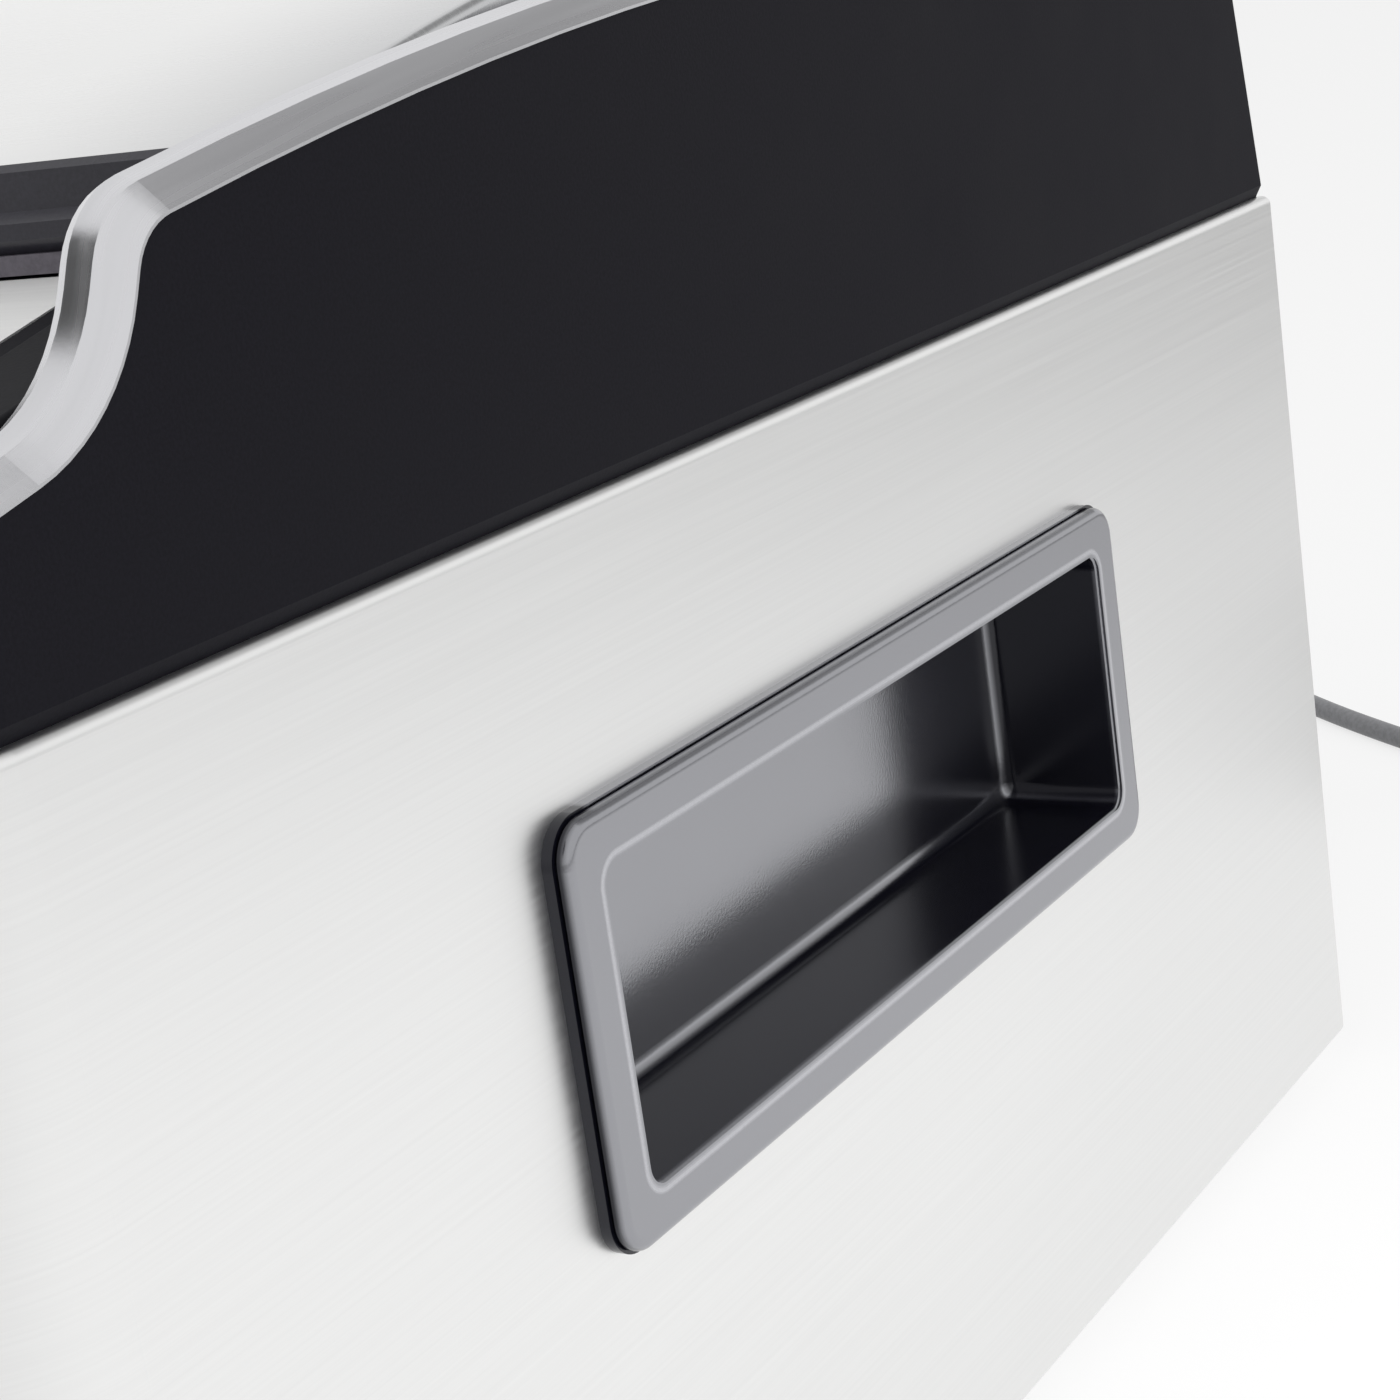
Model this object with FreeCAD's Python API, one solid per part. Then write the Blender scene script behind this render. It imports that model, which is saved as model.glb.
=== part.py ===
import FreeCAD, Part
import math
import os

V = FreeCAD.Vector

# Vacuum sealer with a domed lid between two side cheeks.
# Millimetres. X to the right, Y from the front to the rear, Z up, floor at Z = 0.

# ---- driving dimensions -------------------------------------------------------------
WIDTH = 480.0
DEPTH = 294.5
FOOT_HEIGHT = 6.0
STEEL_HEIGHT = 140.2
SHEET = 1.0
CORNER_RADIUS = 16.0
FOLD_RADIUS = 1.4
REAR_FLANGE = 12.0
SHELL_LIP = 9.0

DECK_SLOPE = 13.0
PLATFORM_Z = 176.0
DECK_LENGTH = 63.25
DECK_CREST = 2.4
WALL = 2.5
MOULD_GAP = 0.3

CHEEK_INSET = 0.4
CHEEK_THICKNESS = 5.6
RISER_SLOPE = 66.0
ARCH_SAG = 14.34
ARCH_Y = 25.5
ARCH_TOP = 194.2
TRIM_RISE = 3.7
TRIM_EDGE_RISE = 3.0

GRIP_Y = 1.9
GRIP_Z = 92.8
GRIP_LENGTH = 124.0
GRIP_HEIGHT = 35.7
GRIP_DEPTH = 15.0
GRIP_BORDER = 6.2
GRIP_PROUD = 3.1
GRIP_WALL = 1.8

LID_GAP = 1.2
LID_SETBACK = 4.0
LID_REAR_INSET = 16.25
LID_EDGE_Z = 187.1
LID_CROWN_Z = 202.5
LID_BOTTOM_Z = 177.5
LID_SKIRT_Z = 181.0
HINGE_REAR_INSET = 23.25
HINGE_SIDE_INSET = 70.0
HINGE_Z = 176.0
PIN_RADIUS = 2.5
RUNNING_FIT = 0.05

SEAL_TO_TROUGH = 32.0
TROUGH_SIDE_INSET = 28.0
TROUGH_WIDTH = 28.0
TROUGH_DEPTH = 14.0
GASKET_WIDTH = 6.0
GASKET_OFFSET = 3.5
GASKET_GROOVE = 3.0

SEAL_SETBACK = 20.0
SEAL_SIDE_INSET = 25.0
SEAL_WIDTH = 12.0
SEAL_DEPTH = 8.0

TROUGH_TO_RAIL = 41.0
RAIL_TO_ROLL = 15.0
ROLL_TO_HINGE = 16.0
ROLL_SIDE_INSET = 35.0
ROLL_FLOOR_Z = 84.0
RAIL_WIDTH = 12.0

KEY_SIDE_INSET = 7.7
KEY_WIDTH = 12.4
KEY_SETBACK = 22.25
KEY_TO_LID = 6.0
KEY_TRAVEL = 5.0
LATCH_SETBACK = 5.0
LATCH_Z = 148.0
LATCH_WIDTH = 6.0
LATCH_PIN_RADIUS = 2.0

PANEL_LENGTH = 190.0
PANEL_WIDTH = 34.0
BUTTON_COUNT = 6
BUTTON_PITCH = 19.0
BUTTON_RADIUS = 6.0
BUTTON_PROUD = 1.4
SCREEN_LENGTH = 46.0
SCREEN_WIDTH = 20.0

CORD_RADIUS = 2.3
GLAND_X = 112.0
GLAND_Z = 58.0
SWITCH_X = 176.0

# ---- values worked out from them ----------------------------------------------------
HALF_WIDTH = WIDTH / 2
FRONT_Y = -DEPTH / 2
REAR_Y = DEPTH / 2
SEAM_Z = FOOT_HEIGHT + STEEL_HEIGHT
CHEEK_OUT = HALF_WIDTH - CHEEK_INSET
CHEEK_IN = CHEEK_OUT - CHEEK_THICKNESS
FRAME_HALF = CHEEK_IN - MOULD_GAP
LID_HALF = CHEEK_IN - LID_GAP
FRAME_BOTTOM = SEAM_Z + MOULD_GAP
ARCH_RADIUS = REAR_Y ** 2 / (2 * ARCH_SAG)
DECK_REAR_Y = FRONT_Y + DECK_LENGTH
LID_FRONT_Y = DECK_REAR_Y + LID_SETBACK
LID_REAR_Y = REAR_Y - LID_REAR_INSET
HINGE_X = HALF_WIDTH - HINGE_SIDE_INSET
HINGE_Y = REAR_Y - HINGE_REAR_INSET
SEAL_Y = DECK_REAR_Y + SEAL_SETBACK
SEAL_LENGTH = WIDTH - 2 * SEAL_SIDE_INSET
TROUGH_Y = SEAL_Y + SEAL_TO_TROUGH
TROUGH_LENGTH = WIDTH - 2 * TROUGH_SIDE_INSET
RAIL_Y = TROUGH_Y + TROUGH_TO_RAIL
ROLL_FRONT_Y = RAIL_Y + RAIL_TO_ROLL
ROLL_WIDTH = HINGE_Y - ROLL_TO_HINGE - ROLL_FRONT_Y
ROLL_Y = ROLL_FRONT_Y + ROLL_WIDTH / 2
ROLL_LENGTH = WIDTH - 2 * ROLL_SIDE_INSET
KEY_X = FRAME_HALF - KEY_SIDE_INSET
KEY_FRONT_Y = FRONT_Y + KEY_SETBACK
KEY_REAR_Y = DECK_REAR_Y - KEY_TO_LID
LATCH_Y = DECK_REAR_Y + LATCH_SETBACK
SLOPE_TAN = math.tan(math.radians(DECK_SLOPE))
DECK_FRONT_Z = PLATFORM_Z + SLOPE_TAN * (FRONT_Y - DECK_REAR_Y)


# ---- small helpers --------------------------------------------------------------------
def box(x0, x1, y0, y1, z0, z1):
    return Part.makeBox(x1 - x0, y1 - y0, z1 - z0, V(x0, y0, z0))


def rod(centre, axis, radius, length):
    """Cylinder centred on a point along an axis."""
    direction = V(*axis)
    start = V(*centre) - direction * (length / 2)
    return Part.makeCylinder(radius, length, start, direction)


def fuse(shapes):
    body = shapes[0]
    if len(shapes) > 1:
        body = body.fuse(shapes[1:])
    return body.removeSplitter()


def cut(body, tools):
    for tool in tools:
        body = body.cut(tool)
    return body


def mirrored(shape):
    """The left-hand copy of a right-hand piece."""
    return shape.mirror(V(0, 0, 0), V(1, 0, 0))


def both_sides(shape):
    return Part.makeCompound([shape, mirrored(shape)])


def edges_where(shape, test):
    return [edge for edge in shape.Edges if test(edge.BoundBox)]


def rounded_box(x0, x1, y0, y1, z0, z1, radius):
    """Box whose upright edges are rounded."""
    body = box(x0, x1, y0, y1, z0, z1)
    return body.makeFillet(radius, edges_where(body, lambda b: b.ZLength > 0.9 * (z1 - z0)))


def rounded_slot_x(length, height, radius, x0, x1):
    """Rounded rectangle in the grip's place, pushed along X."""
    body = box(x0, x1, GRIP_Y - length / 2, GRIP_Y + length / 2, GRIP_Z - height / 2, GRIP_Z + height / 2)
    return body.makeFillet(radius, edges_where(body, lambda b: b.XLength > 0.9 * (x1 - x0)))


def push_x(points, x0, x1):
    """Closed outline of (y, z) points pushed from x0 to x1."""
    corners = [V(x0, y, z) for y, z in points]
    face = Part.Face(Part.makePolygon(corners + [corners[0]]))
    return face.extrude(V(x1 - x0, 0, 0))


def plan_prism(inset, z0, z1):
    """The footprint with rounded front corners, inset all round."""
    half = HALF_WIDTH - inset
    front = FRONT_Y + inset
    rear = REAR_Y - inset
    radius = CORNER_RADIUS - inset
    body = box(-half, half, front, rear, z0, z1)
    corners = edges_where(body, lambda b: b.ZLength > 0.9 * (z1 - z0) and b.YMax < 0)
    return body.makeFillet(radius, corners)


def on_deck(shape):
    """Takes a piece drawn flat, origin at the deck's rear edge, onto the sloping deck."""
    placed = shape.copy()
    placed.rotate(V(0, 0, 0), V(1, 0, 0), DECK_SLOPE)
    placed.translate(V(0, DECK_REAR_Y, PLATFORM_Z))
    return placed


def lying_ring(length, width, centre_y, offset, band, z0, z1):
    """Rectangular ring with round corners around a slot on the platform."""
    half_x = length / 2 + offset
    half_y = width / 2 + offset
    outer = rounded_box(-half_x - band, half_x + band, centre_y - half_y - band, centre_y + half_y + band,
                        z0, z1, offset + band)
    inner = rounded_box(-half_x, half_x, centre_y - half_y, centre_y + half_y, z0 - 1, z1 + 1, offset)
    return outer.cut(inner)


# ---- steel body -----------------------------------------------------------------------
def steel_shell():
    """One sheet: front and both sides, with lips, rear flanges and a rolled top fold."""
    outer = plan_prism(0, FOOT_HEIGHT, SEAM_Z)
    rims = edges_where(outer, lambda b: b.ZLength < 0.01)
    outer = outer.makeFillet(FOLD_RADIUS, rims)
    hollow = plan_prism(SHEET, FOOT_HEIGHT + SHEET, SEAM_Z - SHEET)
    inside_lips = plan_prism(SHELL_LIP, FOOT_HEIGHT - 1, SEAM_Z + 1)
    opening_half = HALF_WIDTH - REAR_FLANGE
    rear_opening = box(-opening_half, opening_half, REAR_Y - 20, REAR_Y + 1, FOOT_HEIGHT - 1, SEAM_Z + 1)
    cutout = rounded_slot_x(GRIP_LENGTH + 2 * GRIP_WALL + 0.6, GRIP_HEIGHT + 2 * GRIP_WALL + 0.6, 4.0,
                            HALF_WIDTH - 20, HALF_WIDTH + 1)
    screw_holes = [countersink(x, z, 3.2, 2.0) for x, z in rear_screw_places()]
    screw_holes += [rod((x, y, SEAM_Z), (0, 0, 1), 1.7, 6) for x, y in frame_screw_places()]
    return cut(outer, [hollow, inside_lips, rear_opening, cutout, mirrored(cutout)] + screw_holes)


def rear_screw_places():
    side = HALF_WIDTH - REAR_FLANGE / 2
    return [(x, z) for x in (-side, side) for z in (FOOT_HEIGHT + 18, SEAM_Z - 18)]


def countersink(x, z, wide, narrow):
    """Cone through the rear flange, wide end flush with its outer face."""
    return Part.makeCone(narrow, wide, SHEET, V(x, REAR_Y - SHEET, z), V(0, 1, 0))


def base_pan():
    """Bottom tray on the shell's lip, with vent slots, foot seats and mounting bosses."""
    z0 = FOOT_HEIGHT + SHEET
    pan = plan_prism(SHEET + MOULD_GAP, z0, z0 + 2)
    wall = plan_prism(SHEET + MOULD_GAP, z0, z0 + 14).cut(plan_prism(SHEET + MOULD_GAP + 2, z0 - 1, z0 + 15))
    bosses = [rod((x, y, z0 + 5), (0, 0, 1), 6, 10) for x, y in foot_places()]
    pan = fuse([pan, wall] + bosses)
    slots = []
    for side in (-1, 1):
        for row in range(7):
            x = side * (120 + 9 * row)
            slots.append(rounded_box(x - 2, x + 2, -40, 10, z0 - 1, z0 + 3, 1.9))
    holes = [rod((x, y, z0), (0, 0, 1), 1.6, 40) for x, y in foot_places()]
    return cut(pan, slots + holes)


def foot_places():
    return [(x, y) for x in (-HALF_WIDTH + 34, HALF_WIDTH - 34) for y in (FRONT_Y + 30, REAR_Y - 30)]


def feet():
    """Four rubber feet, each a tapered puck with a screw well."""
    pucks = []
    for x, y in foot_places():
        cone = Part.makeCone(9, 11, FOOT_HEIGHT + SHEET, V(x, y, 0))
        well = Part.makeCylinder(5, 3.5, V(x, y, -0.1))
        hole = Part.makeCylinder(1.8, 20, V(x, y, -1))
        pucks.append(cut(cone, [well, hole]))
    return Part.makeCompound(pucks)


def foot_screws():
    screws = []
    for x, y in foot_places():
        head = Part.makeCylinder(3.5, 2.2, V(x, y, 1.2))
        shank = Part.makeCylinder(1.5, 13, V(x, y, 3.4))
        screws.append(fuse([head, shank]))
    return Part.makeCompound(screws)


def rear_panel():
    """Rear wall inside the flanges, with louvre slots, a switch hole and a gland hole."""
    half = HALF_WIDTH - SHEET - MOULD_GAP
    y1 = REAR_Y - SHEET
    z0 = FOOT_HEIGHT + SHEET + 14 + MOULD_GAP
    z1 = SEAM_Z - SHEET - MOULD_GAP
    panel = box(-half, half, y1 - 1.5, y1, z0, z1)
    slots = []
    for column in range(2):
        for row in range(6):
            x = -170 + 90 * column
            z = 46 + 11 * row
            slots.append(box(x, x + 70, y1 - 3, y1 + 1, z, z + 4.5))
    gland_hole = rod((GLAND_X, y1, GLAND_Z), (0, 1, 0), 6.3, 10)
    switch_hole = box(SWITCH_X - 10.3, SWITCH_X + 10.3, y1 - 5, y1 + 1, GLAND_Z - 7.3, GLAND_Z + 7.3)
    screw_holes = [rod((x, y1, z), (0, 1, 0), 1.5, 10) for x, z in rear_screw_places()]
    return cut(panel, slots + [gland_hole, switch_hole] + screw_holes)


def rear_screws():
    """Countersunk screws, flush with the shell's rear flanges."""
    screws = []
    for x, z in rear_screw_places():
        head = countersink(x, z, 3.15, 1.95)
        shank = Part.makeCylinder(1.4, 9, V(x, REAR_Y - SHEET - 9, z), V(0, 1, 0))
        screws.append(fuse([head, shank]))
    return Part.makeCompound(screws)


# ---- recessed side grip -----------------------------------------------------------------
def side_grip():
    """Moulded finger cup with a two-tier bezel that overlaps the steel cut-out."""
    face = HALF_WIDTH + GRIP_PROUD
    border = 2 * GRIP_BORDER
    base = rounded_slot_x(GRIP_LENGTH + border, GRIP_HEIGHT + border, 4.8, HALF_WIDTH, HALF_WIDTH + 1.3)
    groove = rounded_slot_x(GRIP_LENGTH + border - 2, GRIP_HEIGHT + border - 2, 3.8,
                            HALF_WIDTH + 1.2, HALF_WIDTH + 1.8)
    top = rounded_slot_x(GRIP_LENGTH + border - 0.8, GRIP_HEIGHT + border - 0.8, 4.4, HALF_WIDTH + 1.6, face)
    rim = edges_where(top, lambda b: b.XMin > face - 0.01)
    top = top.makeFillet(1.2, rim)
    cup_floor = HALF_WIDTH - GRIP_DEPTH
    cup = rounded_slot_x(GRIP_LENGTH + 2 * GRIP_WALL, GRIP_HEIGHT + 2 * GRIP_WALL, 3.8,
                         cup_floor - GRIP_WALL, HALF_WIDTH + 0.5)
    hollow = rounded_slot_x(GRIP_LENGTH, GRIP_HEIGHT, 2.6, cup_floor, face + 1)
    floor_edges = edges_where(hollow, lambda b: b.XMax < cup_floor + 0.01)
    hollow = hollow.makeFillet(2.2, floor_edges)
    mouth = rounded_slot_x(GRIP_LENGTH, GRIP_HEIGHT, 2.6, face - 0.6, face)
    mouth_flare = rounded_slot_x(GRIP_LENGTH + 1.2, GRIP_HEIGHT + 1.2, 3.2, face - 0.01, face + 1)
    flare = Part.makeLoft([wire_at(mouth, face - 0.6), wire_at(mouth_flare, face - 0.01)], True, True)
    return cut(fuse([base, groove, top, cup]), [hollow, flare])


def wire_at(prism, x):
    """Outer wire of the prism's end face nearest to x."""
    ends = [face for face in prism.Faces if face.BoundBox.XLength < 0.001]
    ends.sort(key=lambda face: abs(face.BoundBox.XMin - x))
    return ends[0].OuterWire


# ---- side cheek and its trim ----------------------------------------------------------
def unit(y, z):
    size = math.hypot(y, z)
    return (y / size, z / size)


def cheek_nodes():
    """Tangent points of the cheek's upper edge with their outward normals, front to rear.

    A shallow front line, a hollow bend, a steep riser, a tight crown, the long arch, the
    rounded rear corner and the rear edge that leans forward.
    """
    hollow_radius = 22.0
    crown_radius = 6.5
    rear_radius = 9.3
    front_at = (FRONT_Y + 19.35, PLATFORM_Z - 12.15)
    riser_at = (FRONT_Y + 39.85, PLATFORM_Z + 2.4)
    rear_at = (REAR_Y - 1.85, SEAM_Z)
    rear_lean = math.radians(9.7)
    front_n = (-math.sin(math.radians(DECK_SLOPE)), math.cos(math.radians(DECK_SLOPE)))
    riser_n = (-math.sin(math.radians(RISER_SLOPE)), math.cos(math.radians(RISER_SLOPE)))
    rear_n = (math.cos(rear_lean), math.sin(rear_lean))
    arch_c = (ARCH_Y, ARCH_TOP - ARCH_RADIUS)

    hollow_c = line_meets_line(front_at, front_n, riser_at, riser_n, hollow_radius, hollow_radius)
    crown_c = line_meets_circle(riser_at, riser_n, -crown_radius, arch_c, ARCH_RADIUS - crown_radius)
    rear_c = line_meets_circle(rear_at, rear_n, -rear_radius, arch_c, ARCH_RADIUS - rear_radius)

    crown_n = unit(crown_c[0] - arch_c[0], crown_c[1] - arch_c[1])
    corner_n = unit(rear_c[0] - arch_c[0], rear_c[1] - arch_c[1])
    front_run = (FRONT_Y - 10 - front_at[0]) / front_n[1]
    start = (front_at[0] + front_run * front_n[1], front_at[1] - front_run * front_n[0])
    return [
        ("line", start, front_n),
        ("hollow", shift(hollow_c, front_n, -hollow_radius), front_n),
        ("line", shift(hollow_c, riser_n, -hollow_radius), riser_n),
        ("round", shift(crown_c, riser_n, crown_radius), riser_n),
        ("round", shift(crown_c, crown_n, crown_radius), crown_n),
        ("round", shift(rear_c, corner_n, rear_radius), corner_n),
        ("line", shift(rear_c, rear_n, rear_radius), rear_n),
        ("end", rear_at, rear_n),
    ]


def shift(point, normal, distance):
    return (point[0] + normal[0] * distance, point[1] + normal[1] * distance)


def line_meets_line(p, n, q, m, p_offset, q_offset):
    """Crossing of two lines, each moved along its normal."""
    a = n[0] * p[0] + n[1] * p[1] + p_offset
    b = m[0] * q[0] + m[1] * q[1] + q_offset
    det = n[0] * m[1] - n[1] * m[0]
    return ((a * m[1] - b * n[1]) / det, (b * n[0] - a * m[0]) / det)


def line_meets_circle(p, n, offset, centre, radius):
    """Upper crossing of a moved line and a circle."""
    a = n[0] * (p[0] - centre[0]) + n[1] * (p[1] - centre[1]) + offset
    foot = (centre[0] + n[0] * a, centre[1] + n[1] * a)
    run = math.sqrt(radius * radius - a * a)
    ends = [(foot[0] - n[1] * run, foot[1] + n[0] * run), (foot[0] + n[1] * run, foot[1] - n[0] * run)]
    return max(ends, key=lambda point: point[1])


def cheek_outline(x, offset, floor_z):
    """Closed wire: the upper edge moved outward by an offset, closed down to floor_z."""
    nodes = cheek_nodes()
    points = [shift(point, normal, offset) for kind, point, normal in nodes]
    edges = []
    for index in range(len(nodes) - 1):
        kind, point, normal = nodes[index]
        next_point, next_normal = nodes[index + 1][1:]
        start = V(x, *points[index])
        end = V(x, *points[index + 1])
        if kind == "line" or normal == next_normal:
            edges.append(Part.LineSegment(start, end).toShape())
            continue
        middle = arc_middle(point, normal, next_point, next_normal, offset)
        edges.append(Part.Arc(start, V(x, *middle), end).toShape())
    last = points[-1]
    first = points[0]
    corners = [V(x, *last), V(x, last[0], floor_z), V(x, first[0], floor_z), V(x, *first)]
    for a, b in zip(corners, corners[1:]):
        edges.append(Part.LineSegment(a, b).toShape())
    return Part.Wire(edges)


def arc_middle(point, normal, next_point, next_normal, offset):
    """Middle of the arc between two tangent points, moved outward by the offset."""
    chord = math.hypot(next_point[0] - point[0], next_point[1] - point[1])
    cosine = normal[0] * next_normal[0] + normal[1] * next_normal[1]
    turn = math.acos(max(-1.0, min(1.0, cosine)))
    radius = chord / (2 * math.sin(turn / 2))
    bend = unit(normal[0] + next_normal[0], normal[1] + next_normal[1])
    cross = (next_point[0] - point[0]) * (next_normal[0] - normal[0])
    cross += (next_point[1] - point[1]) * (next_normal[1] - normal[1])
    sign = 1 if cross > 0 else -1
    centre = shift(point, normal, -sign * radius)
    return shift(centre, bend, sign * radius + offset)


def cheek_slab(x0, x1, offset, floor_z):
    face = Part.Face(cheek_outline(x0, offset, floor_z))
    return face.extrude(V(x1 - x0, 0, 0))


def side_cheek():
    """Black moulded cheek: thin upright wall with an under-cut lower edge."""
    slab = cheek_slab(CHEEK_IN, CHEEK_OUT, 0, SEAM_Z - 10)
    slab = slab.common(plan_prism(CHEEK_INSET, SEAM_Z, SEAM_Z + 80))
    wires = [undercut_wire(CHEEK_OUT - 1.1, SEAM_Z), undercut_wire(CHEEK_OUT + 0.1, SEAM_Z + 1.9)]
    undercut = Part.makeLoft(wires, True, True)
    lower = box(CHEEK_IN - 1, CHEEK_OUT + 1, FRONT_Y - 1, REAR_Y + 1, SEAM_Z - 1, SEAM_Z + 1.9)
    chamfered = slab.common(lower).common(undercut)
    pilots = [Part.makeCylinder(1.4, 3, V(CHEEK_IN, y, z), V(1, 0, 0)) for y, z in cheek_screw_places()]
    return cut(fuse([slab.cut(lower), chamfered]), pilots)


def undercut_wire(half, z):
    inset = HALF_WIDTH - half
    prism = plan_prism(inset, z, z + 1)
    faces = [face for face in prism.Faces if face.BoundBox.ZMax < z + 0.01]
    return faces[0].OuterWire


def cheek_trim():
    """Bright two-facet strip along the cheek's upper edge, from the front to the rear corner."""
    steps = [(CHEEK_OUT + 0.3, 0.3), (CHEEK_OUT - 2.2, TRIM_EDGE_RISE), (CHEEK_OUT - 4.4, TRIM_RISE),
             (CHEEK_IN, TRIM_RISE - 0.5)]
    floor_z = SEAM_Z - 10
    body = None
    for (x0, rise0), (x1, rise1) in zip(steps, steps[1:]):
        ends = [cheek_outline(x0, rise0, floor_z), cheek_outline(x1, rise1, floor_z)]
        facet = Part.makeLoft(ends, True, True)
        body = facet if body is None else body.fuse(facet)
    body = body.cut(cheek_slab(CHEEK_IN - 1, CHEEK_OUT + 2, 0, SEAM_Z - 20))
    rear_corner = cheek_nodes()[5][1]
    body = body.cut(box(CHEEK_IN - 5, CHEEK_OUT + 5, rear_corner[0], REAR_Y + 40, SEAM_Z - 30, SEAM_Z + 90))
    return body.common(plan_prism(CHEEK_INSET - 0.3, SEAM_Z, SEAM_Z + 80)).removeSplitter()


def cheek_screw_places():
    return [(y, SEAM_Z + 9) for y in (DECK_REAR_Y + 22, -10, 50, REAR_Y - 29.25)]


def cheek_screws():
    """Screws from inside the top frame into each cheek."""
    screws = []
    for y, z in cheek_screw_places():
        head = Part.makeCylinder(3, 1.8, V(FRAME_HALF - WALL - 1.8, y, z), V(1, 0, 0))
        shank = Part.makeCylinder(1.4, WALL + MOULD_GAP + 3, V(FRAME_HALF - WALL, y, z), V(1, 0, 0))
        screws.append(fuse([head, shank]))
    return both_sides(Part.makeCompound(screws))


# ---- top frame --------------------------------------------------------------------------
TRENCH_Y0 = HINGE_Y - 8
TRENCH_Y1 = REAR_Y - 8.75
TRENCH_Z = 165.0
REAR_WALL_Z = 174.0


def top_frame():
    """Moulded top: fascia, sloping deck, sealing platform, hinge trench and rear wall."""
    front = FRONT_Y + CHEEK_INSET
    top = [(front, FRAME_BOTTOM), (front, DECK_FRONT_Z - 2.5), (front + 2.5, DECK_FRONT_Z + 0.3),
           (DECK_REAR_Y + DECK_CREST, PLATFORM_Z + SLOPE_TAN * DECK_CREST), (DECK_REAR_Y + DECK_CREST, PLATFORM_Z),
           (TRENCH_Y0, PLATFORM_Z), (TRENCH_Y0, TRENCH_Z), (TRENCH_Y1, TRENCH_Z),
           (TRENCH_Y1, REAR_WALL_Z), (TRENCH_Y1 + 2.5, REAR_WALL_Z), (REAR_Y - 2.25, FRAME_BOTTOM)]
    drop = WALL / math.cos(math.radians(DECK_SLOPE))
    bend_y = DECK_REAR_Y + (drop - WALL) / SLOPE_TAN
    front_z = PLATFORM_Z - drop + SLOPE_TAN * (front + WALL - DECK_REAR_Y)
    under = [(front + WALL, FRAME_BOTTOM - 1), (front + WALL, front_z),
             (bend_y, PLATFORM_Z - WALL), (TRENCH_Y0 - WALL, PLATFORM_Z - WALL),
             (TRENCH_Y0 - WALL, TRENCH_Z - WALL), (TRENCH_Y1 + 1, TRENCH_Z - WALL), (REAR_Y - 4.75, FRAME_BOTTOM - 1)]
    shell = push_x(top, -FRAME_HALF, FRAME_HALF).common(plan_prism(CHEEK_INSET, SEAM_Z - 1, SEAM_Z + 60))
    shell = shell.cut(push_x(under, -FRAME_HALF + WALL, FRAME_HALF - WALL))
    under_z = PLATFORM_Z - WALL
    seal_pad = box(-SEAL_LENGTH / 2 - 3, SEAL_LENGTH / 2 + 3, SEAL_Y - SEAL_WIDTH / 2 - 3,
                   SEAL_Y + SEAL_WIDTH / 2 + 2, PLATFORM_Z - SEAL_DEPTH - 2, under_z)
    ring_reach = GASKET_OFFSET + GASKET_WIDTH + 2
    ring_pad = box(-TROUGH_LENGTH / 2 - ring_reach, TROUGH_LENGTH / 2 + ring_reach,
                   TROUGH_Y - TROUGH_WIDTH / 2 - ring_reach, TROUGH_Y + TROUGH_WIDTH / 2 + ring_reach,
                   PLATFORM_Z - GASKET_GROOVE - 2.5, under_z)
    rail_pad = box(-ROLL_LENGTH / 2 - 3, ROLL_LENGTH / 2 + 3, RAIL_Y - RAIL_WIDTH / 2 - 2.5,
                   RAIL_Y + RAIL_WIDTH / 2 + 2.5, PLATFORM_Z - 6.5, under_z)
    rear_skirt = box(-KEY_X, KEY_X, REAR_Y - SHEET - 4, REAR_Y - SHEET - 1.8, SEAM_Z - 6, FRAME_BOTTOM + 2)
    bosses = [Part.makeCylinder(3.6, 14, V(x, y, FRAME_BOTTOM)) for x, y in frame_screw_places()]
    lugs = both_sides(base_hinge_lugs())
    ears = both_sides(latch_ears())
    body = fuse([shell, seal_pad, ring_pad, rail_pad, rear_skirt] + bosses + lugs.Solids + ears.Solids)
    return cut(body, frame_pockets())


def frame_screw_places():
    return [(x, FRONT_Y + 5.2) for x in (-170, -60, 60, 170)]


def frame_screws():
    """Screws up through the shell's front lip into the top frame's bosses."""
    screws = []
    for x, y in frame_screw_places():
        head = Part.makeCylinder(3, 1.8, V(x, y, SEAM_Z - SHEET - 1.8))
        shank = Part.makeCylinder(1.4, SHEET + MOULD_GAP + 8, V(x, y, SEAM_Z - SHEET))
        screws.append(fuse([head, shank]))
    return Part.makeCompound(screws)


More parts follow.
